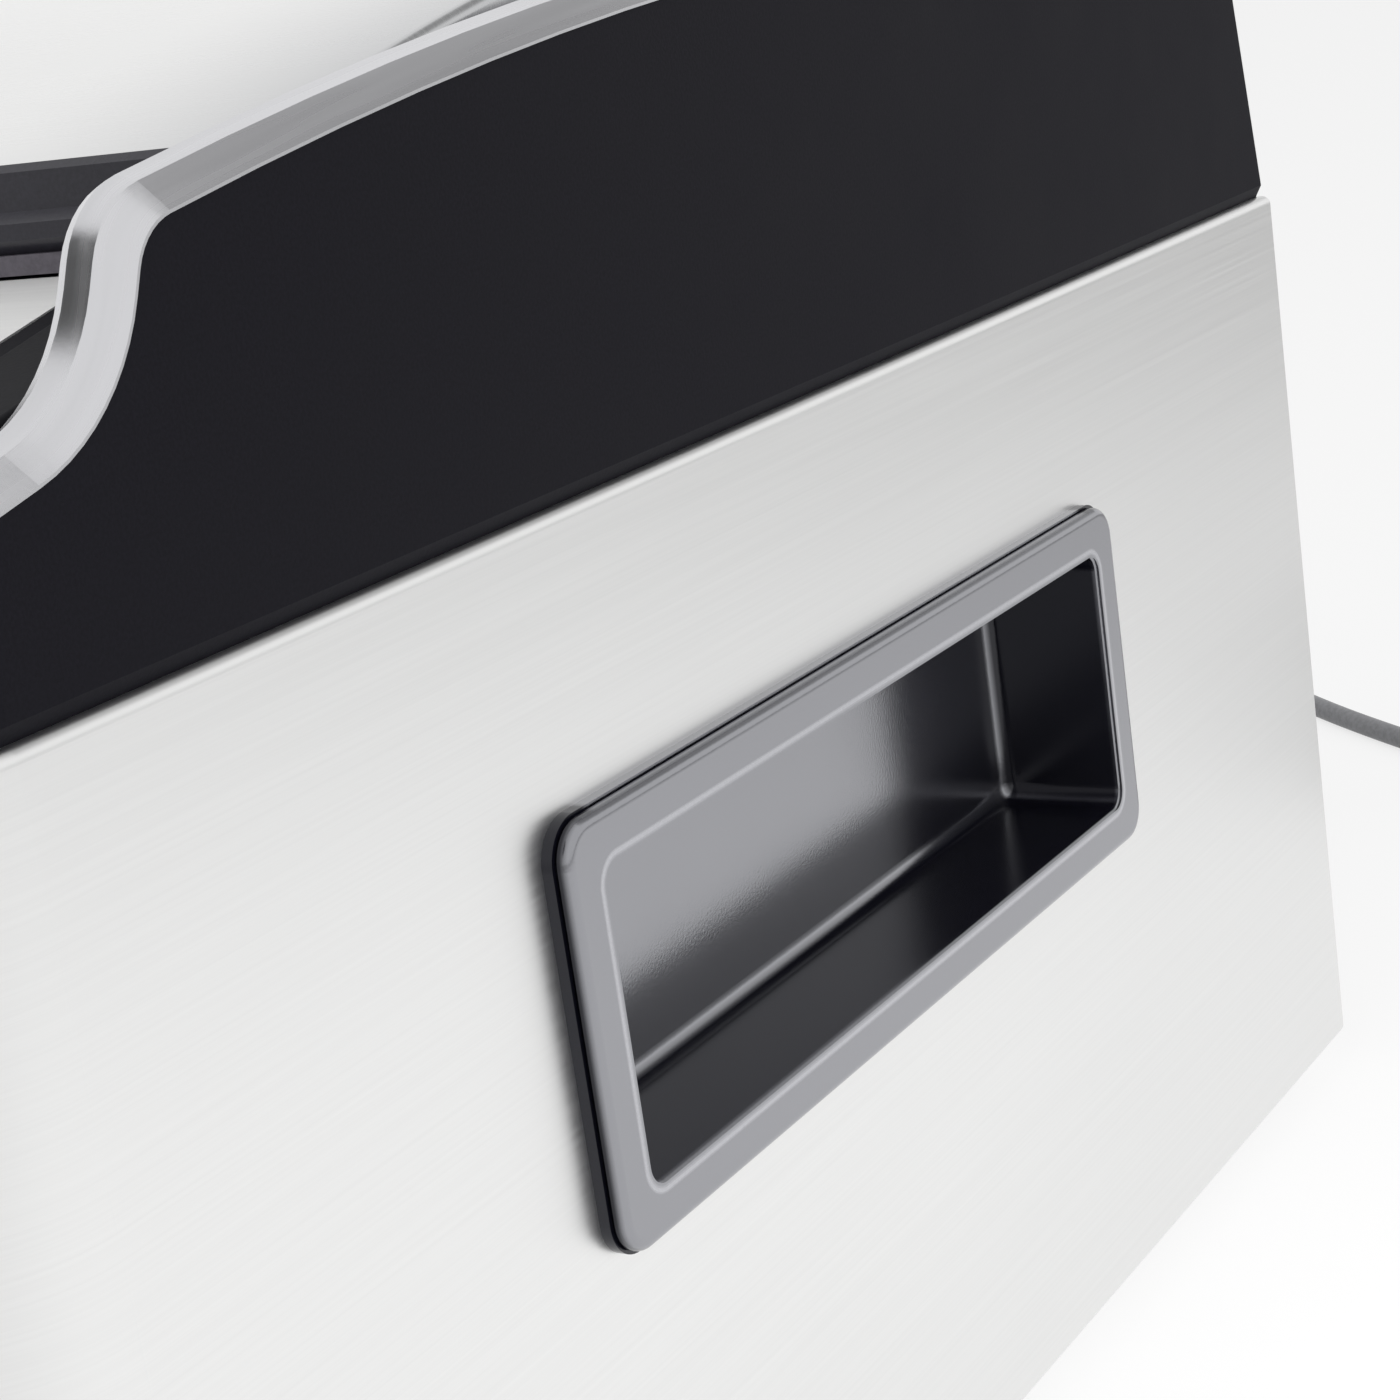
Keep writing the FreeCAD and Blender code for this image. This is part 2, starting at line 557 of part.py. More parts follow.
def frame_pockets():
    """Everything that is cut out of the top frame."""
    gap = MOULD_GAP
    seal_slot = box(-SEAL_LENGTH / 2 - gap, SEAL_LENGTH / 2 + gap, SEAL_Y - SEAL_WIDTH / 2 - gap,
                    SEAL_Y + SEAL_WIDTH / 2 + gap, PLATFORM_Z - SEAL_DEPTH, PLATFORM_Z + 1)
    trough_hole = box(-TROUGH_LENGTH / 2, TROUGH_LENGTH / 2, TROUGH_Y - TROUGH_WIDTH / 2,
                      TROUGH_Y + TROUGH_WIDTH / 2, PLATFORM_Z - 30, PLATFORM_Z + 1)
    groove = lying_ring(TROUGH_LENGTH, TROUGH_WIDTH, TROUGH_Y, GASKET_OFFSET, GASKET_WIDTH,
                        PLATFORM_Z - GASKET_GROOVE, PLATFORM_Z + 1)
    rail_bed = box(-ROLL_LENGTH / 2 - 1 - gap, ROLL_LENGTH / 2 + 1 + gap, RAIL_Y - RAIL_WIDTH / 2 - gap,
                   RAIL_Y + RAIL_WIDTH / 2 + gap, PLATFORM_Z - 4, PLATFORM_Z + 1)
    roll_hole = box(-ROLL_LENGTH / 2, ROLL_LENGTH / 2, ROLL_Y - ROLL_WIDTH / 2, ROLL_Y + ROLL_WIDTH / 2,
                    PLATFORM_Z - 4, PLATFORM_Z + 1)
    inlay = on_deck(rounded_box(-DECK_INLAY_HALF - gap, DECK_INLAY_HALF + gap, DECK_INLAY_Y0 - gap,
                                DECK_INLAY_Y1 + gap, -SHEET, 5, 3))
    button_holes = [on_deck(rod((x, DECK_MIDDLE, 0), (0, 0, 1), BUTTON_RADIUS + gap, 14)) for x in button_places()]
    screen_hole = on_deck(box(SCREEN_X - SCREEN_LENGTH / 2 + 2, SCREEN_X + SCREEN_LENGTH / 2 - 2,
                              DECK_MIDDLE - SCREEN_WIDTH / 2 + 2, DECK_MIDDLE + SCREEN_WIDTH / 2 - 2, -8, 5))
    well = rounded_box(KEY_X - KEY_WIDTH / 2 - gap, KEY_X + KEY_WIDTH / 2 + gap, KEY_FRONT_Y - gap,
                       KEY_REAR_Y + gap, PLATFORM_Z - 30, PLATFORM_Z + 9, 2)
    catch_slot = box(KEY_X - LATCH_WIDTH / 2 - 1, KEY_X + LATCH_WIDTH / 2 + 1, LATCH_Y - 8, LATCH_Y + 13,
                     PLATFORM_Z - 5, PLATFORM_Z + 1)
    holes = [rod((FRAME_HALF, y, z), (1, 0, 0), 1.7, 12) for y, z in cheek_screw_places()]
    holes += [rod((x, y, FRAME_BOTTOM), (0, 0, 1), 1.4, 20) for x, y in frame_screw_places() if x > 0]
    sided = [well, catch_slot] + holes
    return ([seal_slot, trough_hole, groove, rail_bed, roll_hole, inlay, screen_hole] + button_holes
            + sided + [mirrored(shape) for shape in sided])


def base_hinge_lugs():
    """Two ears either side of the lid's knuckle, with the pin's tight bore."""
    ears = []
    for offset in (-16, 16):
        x = HINGE_X + offset
        post = box(x - 5, x + 5, HINGE_Y - 5, HINGE_Y + 5, TRENCH_Z - 1, HINGE_Z)
        ears.append(fuse([post, rod((x, HINGE_Y, HINGE_Z), (1, 0, 0), 5, 10)]))
    bore = rod((HINGE_X, HINGE_Y, HINGE_Z), (1, 0, 0), PIN_RADIUS, 60)
    return Part.makeCompound([ear.cut(bore) for ear in ears])


def latch_ears():
    """Ribs under the platform that carry the latch lever's pin."""
    ears = []
    reach = LATCH_WIDTH / 2 + 0.6
    wall = FRAME_HALF - WALL
    ears.append(box(KEY_X + reach, wall + 0.2, LATCH_Y - 6, LATCH_Y + 6, LATCH_Z + 4, PLATFORM_Z - WALL + 0.5))
    for x0, x1 in ((KEY_X - reach - 1.4, KEY_X - reach), (KEY_X + reach, KEY_X + reach + 1.1)):
        rib = box(x0, x1, LATCH_Y - 6, LATCH_Y + 6, LATCH_Z - 5, PLATFORM_Z - WALL + 0.5)
        ears.append(rib.cut(rod((KEY_X, LATCH_Y, LATCH_Z), (1, 0, 0), LATCH_PIN_RADIUS, 30)))
    return Part.makeCompound(ears)


# ---- deck and controls --------------------------------------------------------------------
DECK_INLAY_HALF = KEY_X - KEY_WIDTH / 2 - 6.8
DECK_INLAY_Y0 = 2.25 - DECK_LENGTH
DECK_INLAY_Y1 = DECK_CREST - 0.6
DECK_MIDDLE = -33.0
SCREEN_X = -62.0
FIRST_BUTTON_X = -24.0


def button_places():
    return [FIRST_BUTTON_X + BUTTON_PITCH * index for index in range(BUTTON_COUNT)]


def deck_panel():
    """Brushed inlay on the deck with a window for the control panel."""
    plate = rounded_box(-DECK_INLAY_HALF, DECK_INLAY_HALF, DECK_INLAY_Y0, DECK_INLAY_Y1, -SHEET, 0, 2.8)
    gap = MOULD_GAP
    window = rounded_box(-PANEL_LENGTH / 2 - gap, PANEL_LENGTH / 2 + gap, DECK_MIDDLE - PANEL_WIDTH / 2 - gap,
                         DECK_MIDDLE + PANEL_WIDTH / 2 + gap, -SHEET - 1, 1, 4.2)
    return on_deck(plate.cut(window))


def control_panel():
    """Dark fascia plate that frames the display and the buttons."""
    plate = rounded_box(-PANEL_LENGTH / 2, PANEL_LENGTH / 2, DECK_MIDDLE - PANEL_WIDTH / 2,
                        DECK_MIDDLE + PANEL_WIDTH / 2, -SHEET, 0.8, 4)
    holes = [rod((x, DECK_MIDDLE, 0), (0, 0, 1), BUTTON_RADIUS + MOULD_GAP, 6) for x in button_places()]
    screen = rounded_box(SCREEN_X - SCREEN_LENGTH / 2 - 0.2, SCREEN_X + SCREEN_LENGTH / 2 + 0.2,
                         DECK_MIDDLE - SCREEN_WIDTH / 2 - 0.2, DECK_MIDDLE + SCREEN_WIDTH / 2 + 0.2, -4, 4, 2)
    return on_deck(cut(plate, holes + [screen]))


def display_window():
    return on_deck(rounded_box(SCREEN_X - SCREEN_LENGTH / 2, SCREEN_X + SCREEN_LENGTH / 2,
                               DECK_MIDDLE - SCREEN_WIDTH / 2, DECK_MIDDLE + SCREEN_WIDTH / 2, -SHEET, 0.6, 2))


def control_button(x):
    """Round cap with a retaining flange and a short stem."""
    under = -WALL - MOULD_GAP
    cap = Part.makeCylinder(BUTTON_RADIUS, BUTTON_PROUD - under, V(x, DECK_MIDDLE, under))
    cap = cap.makeFillet(0.8, edges_where(cap, lambda b: b.ZMin > 0))
    flange = Part.makeCylinder(BUTTON_RADIUS + 1.4, 1.0, V(x, DECK_MIDDLE, under - 1))
    stem = Part.makeCylinder(2, 2.6, V(x, DECK_MIDDLE, under - 3.6))
    return on_deck(fuse([cap, flange, stem]))


def control_board():
    """Board under the panel with a switch below each button and the display block."""
    board = box(-PANEL_LENGTH / 2, PANEL_LENGTH / 2, DECK_MIDDLE - 14, DECK_MIDDLE + 14, -11.0, -9.4)
    switches = [box(x - 3, x + 3, DECK_MIDDLE - 3, DECK_MIDDLE + 3, -9.4, -7.8) for x in button_places()]
    display = box(SCREEN_X - 20, SCREEN_X + 20, DECK_MIDDLE - 7.5, DECK_MIDDLE + 7.5, -9.4, -SHEET - 0.3)
    posts = []
    for x in (7 - PANEL_LENGTH / 2, SCREEN_X + SCREEN_LENGTH / 2 + 5, PANEL_LENGTH / 2 - 11):
        for y in (DECK_MIDDLE - 11, DECK_MIDDLE + 11):
            posts.append(Part.makeCylinder(2, 9.4 - WALL, V(x, y, -9.4)))
    return on_deck(fuse([board, display] + switches + posts))


# ---- lid release ----------------------------------------------------------------------------
def release_key():
    """Long push key: its top follows the deck and a stem reaches down to the latch lever."""
    top = PLATFORM_Z + 1.6
    slope_z = SLOPE_TAN * (KEY_FRONT_Y - DECK_REAR_Y)
    rear_z = SLOPE_TAN * (KEY_REAR_Y - DECK_REAR_Y)
    outline = [(KEY_FRONT_Y, top + slope_z - 10), (KEY_FRONT_Y, top + slope_z), (KEY_REAR_Y, top + rear_z),
               (KEY_REAR_Y, top + slope_z - 10)]
    body = push_x(outline, KEY_X - KEY_WIDTH / 2, KEY_X + KEY_WIDTH / 2)
    uprights = edges_where(body, lambda b: b.ZLength > 9.9 and b.YLength < 0.01)
    body = body.makeFillet(1.8, uprights)
    rim = [edge for edge in body.Edges if edge.BoundBox.ZMin > top + slope_z - 3]
    body = body.makeFillet(0.8, rim)
    stem = box(KEY_X - 2, KEY_X + 2, STEM_Y - 1.5, STEM_Y + 1.5, LEVER_PAD_Z + 0.7, top + slope_z - 9)
    return fuse([body, stem])


STEM_Y = KEY_FRONT_Y + 23
LEVER_PAD_Z = 152.0
NOSE_Z = 165.4
NOSE_REACH = 6.6


def latch_lever():
    """Bell-crank: pad under the key, hub on the pin, upright arm with a hooked nose."""
    profile = [(STEM_Y - 4, LEVER_PAD_Z - 4), (LATCH_Y - 4, LATCH_Z - 5), (LATCH_Y + 3, LATCH_Z - 4),
               (LATCH_Y + 3, NOSE_Z - 1.2), (LATCH_Y + NOSE_REACH, NOSE_Z - 1.2), (LATCH_Y + NOSE_REACH, NOSE_Z),
               (LATCH_Y + 2, NOSE_Z + 2.6), (LATCH_Y - 2.5, NOSE_Z + 2.6), (LATCH_Y - 2.5, LATCH_Z + 6),
               (LATCH_Y - 8, LEVER_PAD_Z - 1), (STEM_Y + 4, LEVER_PAD_Z), (STEM_Y - 4, LEVER_PAD_Z)]
    arm = push_x(profile, KEY_X - LATCH_WIDTH / 2, KEY_X + LATCH_WIDTH / 2)
    hub = rod((KEY_X, LATCH_Y, LATCH_Z), (1, 0, 0), 5, LATCH_WIDTH)
    bore = rod((KEY_X, LATCH_Y, LATCH_Z), (1, 0, 0), LATCH_PIN_RADIUS + RUNNING_FIT, 20)
    return fuse([arm, hub]).cut(bore)


def latch_pins():
    return both_sides(rod((KEY_X, LATCH_Y, LATCH_Z), (1, 0, 0), LATCH_PIN_RADIUS, LATCH_WIDTH + 4.0))


def lid_catches():
    """Barbed posts on the lid; lid down but not yet pressed home, they stand on the levers' noses."""
    post_y = LATCH_Y + NOSE_REACH + 0.4
    tip_y = post_y - 3.2
    tip_z = NOSE_Z + 2.2
    profile = [(post_y, LID_BOTTOM_Z), (post_y, tip_z + 1.8), (tip_y, tip_z + 1.4), (tip_y, tip_z),
               (post_y, NOSE_Z + 0.4), (post_y + 5, NOSE_Z + 0.4), (post_y + 5, LID_BOTTOM_Z)]
    return both_sides(push_x(profile, KEY_X - LATCH_WIDTH / 2, KEY_X + LATCH_WIDTH / 2))


# ---- sealing and vacuum channel ---------------------------------------------------------------
def seal_bar():
    z0 = PLATFORM_Z - SEAL_DEPTH
    bar = box(-SEAL_LENGTH / 2, SEAL_LENGTH / 2, SEAL_Y - SEAL_WIDTH / 2, SEAL_Y + SEAL_WIDTH / 2, z0, z0 + 7.2)
    end = SEAL_LENGTH / 2 - 9
    terminals = [box(x - 4, x + 4, SEAL_Y - 3, SEAL_Y + 3, z0 + 6, z0 + 8) for x in (-end, end)]
    return fuse([bar] + terminals)


def heating_strip():
    z0 = PLATFORM_Z - SEAL_DEPTH + 7.2
    half = SEAL_LENGTH / 2 - 15
    return box(-half, half, SEAL_Y - 1.5, SEAL_Y + 1.5, z0, z0 + 0.3)


def seal_tape():
    z0 = PLATFORM_Z - SEAL_DEPTH + 7.5
    half = SEAL_LENGTH / 2 - 16
    return box(-half, half, SEAL_Y - 5, SEAL_Y + 5, z0, z0 + 0.3)


def vacuum_trough():
    """Lift-out drip tray with a rim and the suction port at its right end."""
    half_x = TROUGH_LENGTH / 2 - MOULD_GAP
    half_y = TROUGH_WIDTH / 2 - MOULD_GAP
    z0 = PLATFORM_Z - TROUGH_DEPTH
    tray = rounded_box(-half_x, half_x, TROUGH_Y - half_y, TROUGH_Y + half_y, z0, PLATFORM_Z, 3)
    rim = rounded_box(-half_x - 2, half_x + 2, TROUGH_Y - half_y - 2, TROUGH_Y + half_y + 2,
                      PLATFORM_Z, PLATFORM_Z + 0.8, 4)
    hollow = rounded_box(-half_x + 1.5, half_x - 1.5, TROUGH_Y - half_y + 1.5, TROUGH_Y + half_y - 1.5,
                         z0 + 1.5, PLATFORM_Z + 2, 3)
    hollow = hollow.makeFillet(2.5, edges_where(hollow, lambda b: b.ZMax < z0 + 1.6))
    port = Part.makeCylinder(5.5, 9, V(PORT_X, TROUGH_Y, z0 - 8))
    bore = Part.makeCylinder(3, 20, V(PORT_X, TROUGH_Y, z0 - 9))
    return cut(fuse([tray, rim, port]), [hollow, bore])


PORT_X = TROUGH_LENGTH / 2 - 32
PAD_HALF = SEAL_LENGTH / 2 - 3


def lower_gasket():
    return lying_ring(TROUGH_LENGTH, TROUGH_WIDTH, TROUGH_Y, GASKET_OFFSET + 0.1, GASKET_WIDTH - 0.2,
                      PLATFORM_Z - GASKET_GROOVE, PLATFORM_Z + 0.6)


def upper_gasket():
    return lying_ring(TROUGH_LENGTH, TROUGH_WIDTH, TROUGH_Y, GASKET_OFFSET + 0.1, GASKET_WIDTH - 0.2,
                      PLATFORM_Z + 0.9, LID_BOTTOM_Z + 1.2)


def counter_pad():
    """Silicone strip in the lid that presses the bag onto the heating strip."""
    return box(-PAD_HALF, PAD_HALF, SEAL_Y - 5, SEAL_Y + 5, PLATFORM_Z + 0.3, LID_BOTTOM_Z + 1.2)


# ---- roll compartment and cutter ------------------------------------------------------------------
def roll_box():
    """Tub with a rounded floor that hangs under the roll opening."""
    top = PLATFORM_Z - WALL
    half = ROLL_WIDTH / 2
    bend = 0.62 * half
    inner = rounded_trough(ROLL_LENGTH / 2, half, ROLL_FLOOR_Z, top + 1, bend)
    outer = rounded_trough(ROLL_LENGTH / 2 + 2, half + 2, ROLL_FLOOR_Z - 2, top, bend + 2)
    flange = box(-ROLL_LENGTH / 2 - 5, ROLL_LENGTH / 2 + 5, ROLL_Y - half - 3, ROLL_Y + half + 3, top - 2, top)
    return fuse([outer, flange]).cut(inner)


def rounded_trough(half_x, half_y, z0, z1, radius):
    body = box(-half_x, half_x, ROLL_Y - half_y, ROLL_Y + half_y, z0, z1)
    return body.makeFillet(radius, edges_where(body, lambda b: b.XLength > half_x and b.ZMax < z0 + 0.1))


def cutter_rail():
    """Guide rail with a slot for the knife carriage."""
    z0 = PLATFORM_Z - 4
    rail = box(-ROLL_LENGTH / 2 - 1, ROLL_LENGTH / 2 + 1, RAIL_Y - RAIL_WIDTH / 2, RAIL_Y + RAIL_WIDTH / 2,
               z0, z0 + 4.6)
    slot = box(-ROLL_LENGTH / 2 + 5, ROLL_LENGTH / 2 - 5, RAIL_Y - 1.6, RAIL_Y + 1.6, z0 + 1.5, z0 + 6)
    tee = box(-ROLL_LENGTH / 2 + 5, ROLL_LENGTH / 2 - 5, RAIL_Y - 3, RAIL_Y + 3, z0 + 1.5, z0 + 3.2)
    return cut(rail, [slot, tee])


CUTTER_TRAVEL = ROLL_LENGTH - 38
CUTTER_X = -CUTTER_TRAVEL / 2


def cutter_slider():
    """Knife carriage: thumb knob above the rail and a foot in its tee slot."""
    z0 = PLATFORM_Z - 4
    foot = box(CUTTER_X - 9, CUTTER_X + 9, RAIL_Y - 2.7, RAIL_Y + 2.7, z0 + 1.8, z0 + 2.9)
    neck = box(CUTTER_X - 8, CUTTER_X + 8, RAIL_Y - 1.3, RAIL_Y + 1.3, z0 + 1.8, z0 + 5.5)
    knob = rounded_box(CUTTER_X - 11, CUTTER_X + 11, RAIL_Y - 7, RAIL_Y + 7, z0 + 4.9, z0 + 9.6, 4)
    knob = knob.makeFillet(1.2, edges_where(knob, lambda b: b.ZMin > z0 + 9.5))
    return fuse([foot, neck, knob])


# ---- lid ------------------------------------------------------------------------------------------
LID_STEP_Y = RAIL_Y - 12
LID_FRAME_HALF = LID_HALF - SHEET - MOULD_GAP
LID_ROOF_Z = 184.0


def dome(half_x, y0, y1, inset, floor_z):
    """Barrel-topped block: the lid's crowned profile lowered by inset, down to floor_z."""
    middle = (LID_FRONT_Y + LID_REAR_Y) / 2
    chord = (LID_REAR_Y - LID_FRONT_Y) / 2
    rise = LID_CROWN_Z - LID_EDGE_Z
    radius = (chord * chord + rise * rise) / (2 * rise)
    centre_z = LID_CROWN_Z - radius
    radius -= inset

    def top(y):
        return V(-half_x, y, centre_z + math.sqrt(radius * radius - (y - middle) ** 2))

    edges = [Part.Arc(top(y0), top(middle), top(y1)).toShape(),
             Part.LineSegment(top(y1), V(-half_x, y1, floor_z)).toShape(),
             Part.LineSegment(V(-half_x, y1, floor_z), V(-half_x, y0, floor_z)).toShape(),
             Part.LineSegment(V(-half_x, y0, floor_z), top(y0)).toShape()]
    return Part.Face(Part.Wire(edges)).extrude(V(2 * half_x, 0, 0))


def lid_skin():
    """Barrel-crowned sheet with side and rear skirts, open at the front."""
    outer = dome(LID_HALF, LID_FRONT_Y, LID_REAR_Y, 0, LID_SKIRT_Z)
    rims = edges_where(outer, lambda b: b.XLength < 0.01 and b.ZMax > LID_CROWN_Z - 0.1)
    outer = outer.makeFillet(1.2, rims)
    inner = dome(LID_HALF - SHEET, LID_FRONT_Y - 1, LID_REAR_Y - SHEET, SHEET, LID_SKIRT_Z - 1)
    return outer.cut(inner)


def lid_frame():
    """Moulded lining: thick sealing front, raised roof over the roll, skirts and hinge knuckles."""
    half = LID_FRAME_HALF
    y0 = LID_FRONT_Y + 2
    y1 = LID_REAR_Y - SHEET - MOULD_GAP
    rim_z = LID_EDGE_Z - 1.3
    front_plate = box(-half, half, y0, LID_STEP_Y, LID_BOTTOM_Z, LID_BOTTOM_Z + WALL)
    step = box(-half, half, LID_STEP_Y - WALL, LID_STEP_Y, LID_BOTTOM_Z, LID_ROOF_Z + 2)
    roof = box(-half, half, LID_STEP_Y - WALL, y1, LID_ROOF_Z, LID_ROOF_Z + 2)
    front_wall = box(-half, half, y0, y0 + WALL, LID_BOTTOM_Z, rim_z)
    side_wall = fuse([box(half - WALL, half, y0, LID_STEP_Y, LID_BOTTOM_Z, rim_z),
                      box(half - WALL, half, y0, y1, LID_SKIRT_Z, rim_z)])
    rear_wall = box(-half, half, y1 - WALL, y1, LID_ROOF_Z - 1.5, rim_z)
    knuckle = fuse([box(HINGE_X - 10, HINGE_X + 10, HINGE_Y - 5, HINGE_Y + 4, HINGE_Z, LID_ROOF_Z + 1),
                    rod((HINGE_X, HINGE_Y, HINGE_Z), (1, 0, 0), 5, 20)])
    body = fuse([front_plate, step, roof, front_wall, side_wall, mirrored(side_wall), rear_wall,
                 knuckle, mirrored(knuckle)])
    groove = lying_ring(TROUGH_LENGTH, TROUGH_WIDTH, TROUGH_Y, GASKET_OFFSET, GASKET_WIDTH,
                        LID_BOTTOM_Z - 1, LID_BOTTOM_Z + 1.2)
    pad_slot = box(-PAD_HALF - 0.2, PAD_HALF + 0.2, SEAL_Y - 5.2, SEAL_Y + 5.2, LID_BOTTOM_Z - 1, LID_BOTTOM_Z + 1.2)
    bore = rod((HINGE_X, HINGE_Y, HINGE_Z), (1, 0, 0), PIN_RADIUS + RUNNING_FIT, 60)
    ear_room = [rod((HINGE_X + offset, HINGE_Y, HINGE_Z), (1, 0, 0), 5.6, 11) for offset in (-16, 16)]
    sided = [bore] + ear_room
    return cut(body, [groove, pad_slot] + sided + [mirrored(shape) for shape in sided])


LIP_TOP_Z = LID_BOTTOM_Z + 1.2


def lid_front_rail():
    """Stepped dark rail across the lid's front, with the lip that fingers lift."""
    y = LID_FRONT_Y
    z = LIP_TOP_Z
    profile = [(y + 2, z), (y - 1.4, z), (y - 2.3, z + 1.4), (y - 2.3, z + 3.0),
               (y - 0.9, z + 4.0), (y - 0.9, LID_EDGE_Z - 0.7), (y - 0.2, LID_EDGE_Z),
               (y - 0.2, LID_EDGE_Z - 1.3), (y + 2, LID_EDGE_Z - 1.3)]
    rail = push_x(profile, -LID_HALF, LID_HALF)
    ends = box(LID_HALF - SHEET - 0.1, LID_HALF + 1, y, y + 3, LID_BOTTOM_Z, LID_EDGE_Z + 1)
    return cut(rail, [ends, mirrored(ends)])


def lid_edge_seal():
    """Soft grey lip under the rail that lies on the deck."""
    y = LID_FRONT_Y
    profile = [(y + 1.6, LIP_TOP_Z), (y - 2.3, LIP_TOP_Z), (y - 2.3, LID_BOTTOM_Z - 0.75),
               (y + 1.6, LID_BOTTOM_Z - 0.2)]
    return push_x(profile, -LID_HALF, LID_HALF)


def hinge_pins():
    """Pins pressed into the base ears; the lid's knuckles turn on them."""
    return both_sides(rod((HINGE_X, HINGE_Y, HINGE_Z), (1, 0, 0), PIN_RADIUS, 42))


# ---- works inside the base --------------------------------------------------------------------------
PUMP_Y = FRONT_Y + 47.25
PUMP_Z = 50.0
PAN_TOP = FOOT_HEIGHT + SHEET + 2


def vacuum_pump(x):
    """Diaphragm pump: motor can, finned head and two nozzles, lying along X."""
    can = rod((x + 38, PUMP_Y, PUMP_Z), (1, 0, 0), 26, 72)
    end_cap = rod((x + 76, PUMP_Y, PUMP_Z), (1, 0, 0), 9, 6)
    head = rounded_box(x - 52, x + 4, PUMP_Y - 28, PUMP_Y + 28, PUMP_Z - 26, PUMP_Z + 20, 6)
    cover = rod((x - 24, PUMP_Y, PUMP_Z + 24), (0, 0, 1), 25, 10)
    nozzle = rod((x - 24, PUMP_Y, PUMP_Z + 36), (0, 0, 1), 4, 16)
    outlet = rod((x - 24, PUMP_Y - 32, PUMP_Z + 10), (0, 1, 0), 4, 14)
    feet_bars = [box(x + dx - 5, x + dx + 5, PUMP_Y - 30, PUMP_Y + 30, PUMP_Z - 32, PUMP_Z - 22)
                 for dx in (-40, 40)]
    return fuse([can, end_cap, head, cover, nozzle, outlet] + feet_bars)


PUMP_PLACES = [100.0, -60.0]
TRANSFORMER_X = PUMP_PLACES[1] - 90
MANIFOLD = (110.0, PUMP_Y + 40, 112.0)
MANIFOLD_RADIUS = 4.5
MANIFOLD_HALF = 14.0


def pump_mounts():
    """Rubber buffers between the pan and the pumps' foot bars."""
    buffers = []
    for x in PUMP_PLACES:
        for dx in (-40, 40):
            for dy in (-22, 22):
                buffers.append(Part.makeCylinder(5, PUMP_Z - 32 - PAN_TOP, V(x + dx, PUMP_Y + dy, PAN_TOP)))
    return Part.makeCompound(buffers)


def transformer():
    """Laminated core on its feet with the winding through it."""
    x = TRANSFORMER_X
    y = PUMP_Y - 2
    core = box(x - 30, x + 30, y - 28, y + 28, PAN_TOP, PAN_TOP + 52)
    window = [box(x + side - 8, x + side + 8, y - 29, y + 29, PAN_TOP + 12, PAN_TOP + 40) for side in (-12, 12)]
    winding = rounded_box(x - 18, x + 18, y - 36, y + 36, PAN_TOP + 13, PAN_TOP + 39, 6)
    feet_bar = box(x - 42, x + 42, y - 8, y + 10, PAN_TOP, PAN_TOP + 2)
    return fuse([cut(core, window), winding, feet_bar])


BOARD_SIDE_INSET = 34.0
BOARD_LENGTH = 110.0
BOARD_WIDTH = 74.0
BOARD_RAISE = 8.0


def main_board():
    """Power board on posts with its relays, capacitor and terminal block."""
    z0 = PAN_TOP + BOARD_RAISE
    x0 = BOARD_SIDE_INSET - HALF_WIDTH
    x1 = x0 + BOARD_LENGTH
    y0 = -44
    y1 = y0 + BOARD_WIDTH
    board = box(x0, x1, y0, y1, z0, z0 + 1.6)
    posts = [Part.makeCylinder(3, BOARD_RAISE, V(x, y, PAN_TOP))
             for x in (x0 + 6, x1 - 6) for y in (y0 + 6, y1 - 6)]
    relays = [box(x0 + 10 + 24 * i, x0 + 28 + 24 * i, y0 + 10, y0 + 24, z0 + 1.6, z0 + 17) for i in range(3)]
    capacitor = Part.makeCylinder(8, 24, V(x1 - 16, y1 - 20, z0 + 1.6))
    terminals = box(x0 + 6, x0 + 56, y1 - 16, y1 - 4, z0 + 1.6, z0 + 13)
    return fuse([board, capacitor, terminals] + posts + relays)


def release_valve():
    """Solenoid valve under the hose manifold; it lets air back into the channel."""
    x, y = MANIFOLD[:2]
    body = box(x - 10, x + 10, y - 9, y + 9, PAN_TOP, PAN_TOP + 34)
    coil = rod((x, y, PAN_TOP + 47), (0, 0, 1), 8.5, 26)
    pipe_foot = PAN_TOP + 58
    pipe = Part.makeCylinder(2.5, MANIFOLD[2] - MANIFOLD_RADIUS - pipe_foot, V(x, y, pipe_foot))
    return fuse([body, coil, pipe])


# ---- tubes: straight runs joined by tangent arcs ---------------------------------------------------------
def tube(route, radius, label):
    """Round tube along the route; each corner takes the largest arc that its two runs allow."""
    points = [V(*place) for place in route]
    edges = []
    start = points[0]
    radii = []
    for before, corner, after in zip(points, points[1:], points[2:]):
        into = corner - before
        out = after - corner
        turn = into.getAngle(out)
        reach = 0.45 * min(into.Length, out.Length)
        bend = reach / math.tan(turn / 2)
        radii.append(bend)
        arc_start = corner - into.normalize() * reach
        arc_end = corner + out.normalize() * reach
        away = (arc_start - corner + arc_end - corner).normalize()
        arc_middle_point = corner + away * (bend / math.cos(turn / 2) - bend)
        edges.append(Part.LineSegment(start, arc_start).toShape())
        edges.append(Part.Arc(arc_start, arc_middle_point, arc_end).toShape())
        start = arc_end
    edges.append(Part.LineSegment(start, points[-1]).toShape())
    path = Part.Wire(edges)
    section = Part.Wire(Part.makeCircle(radius, points[0], points[1] - points[0]))
    body = path.makePipeShell([section], True, False)
    expected = math.pi * radius * radius * path.Length
    print("%s: length %.1f, volume %.1f of %.1f, bend radii %s"
          % (label, path.Length, body.Volume, expected, [round(bend) for bend in radii]))
    return body


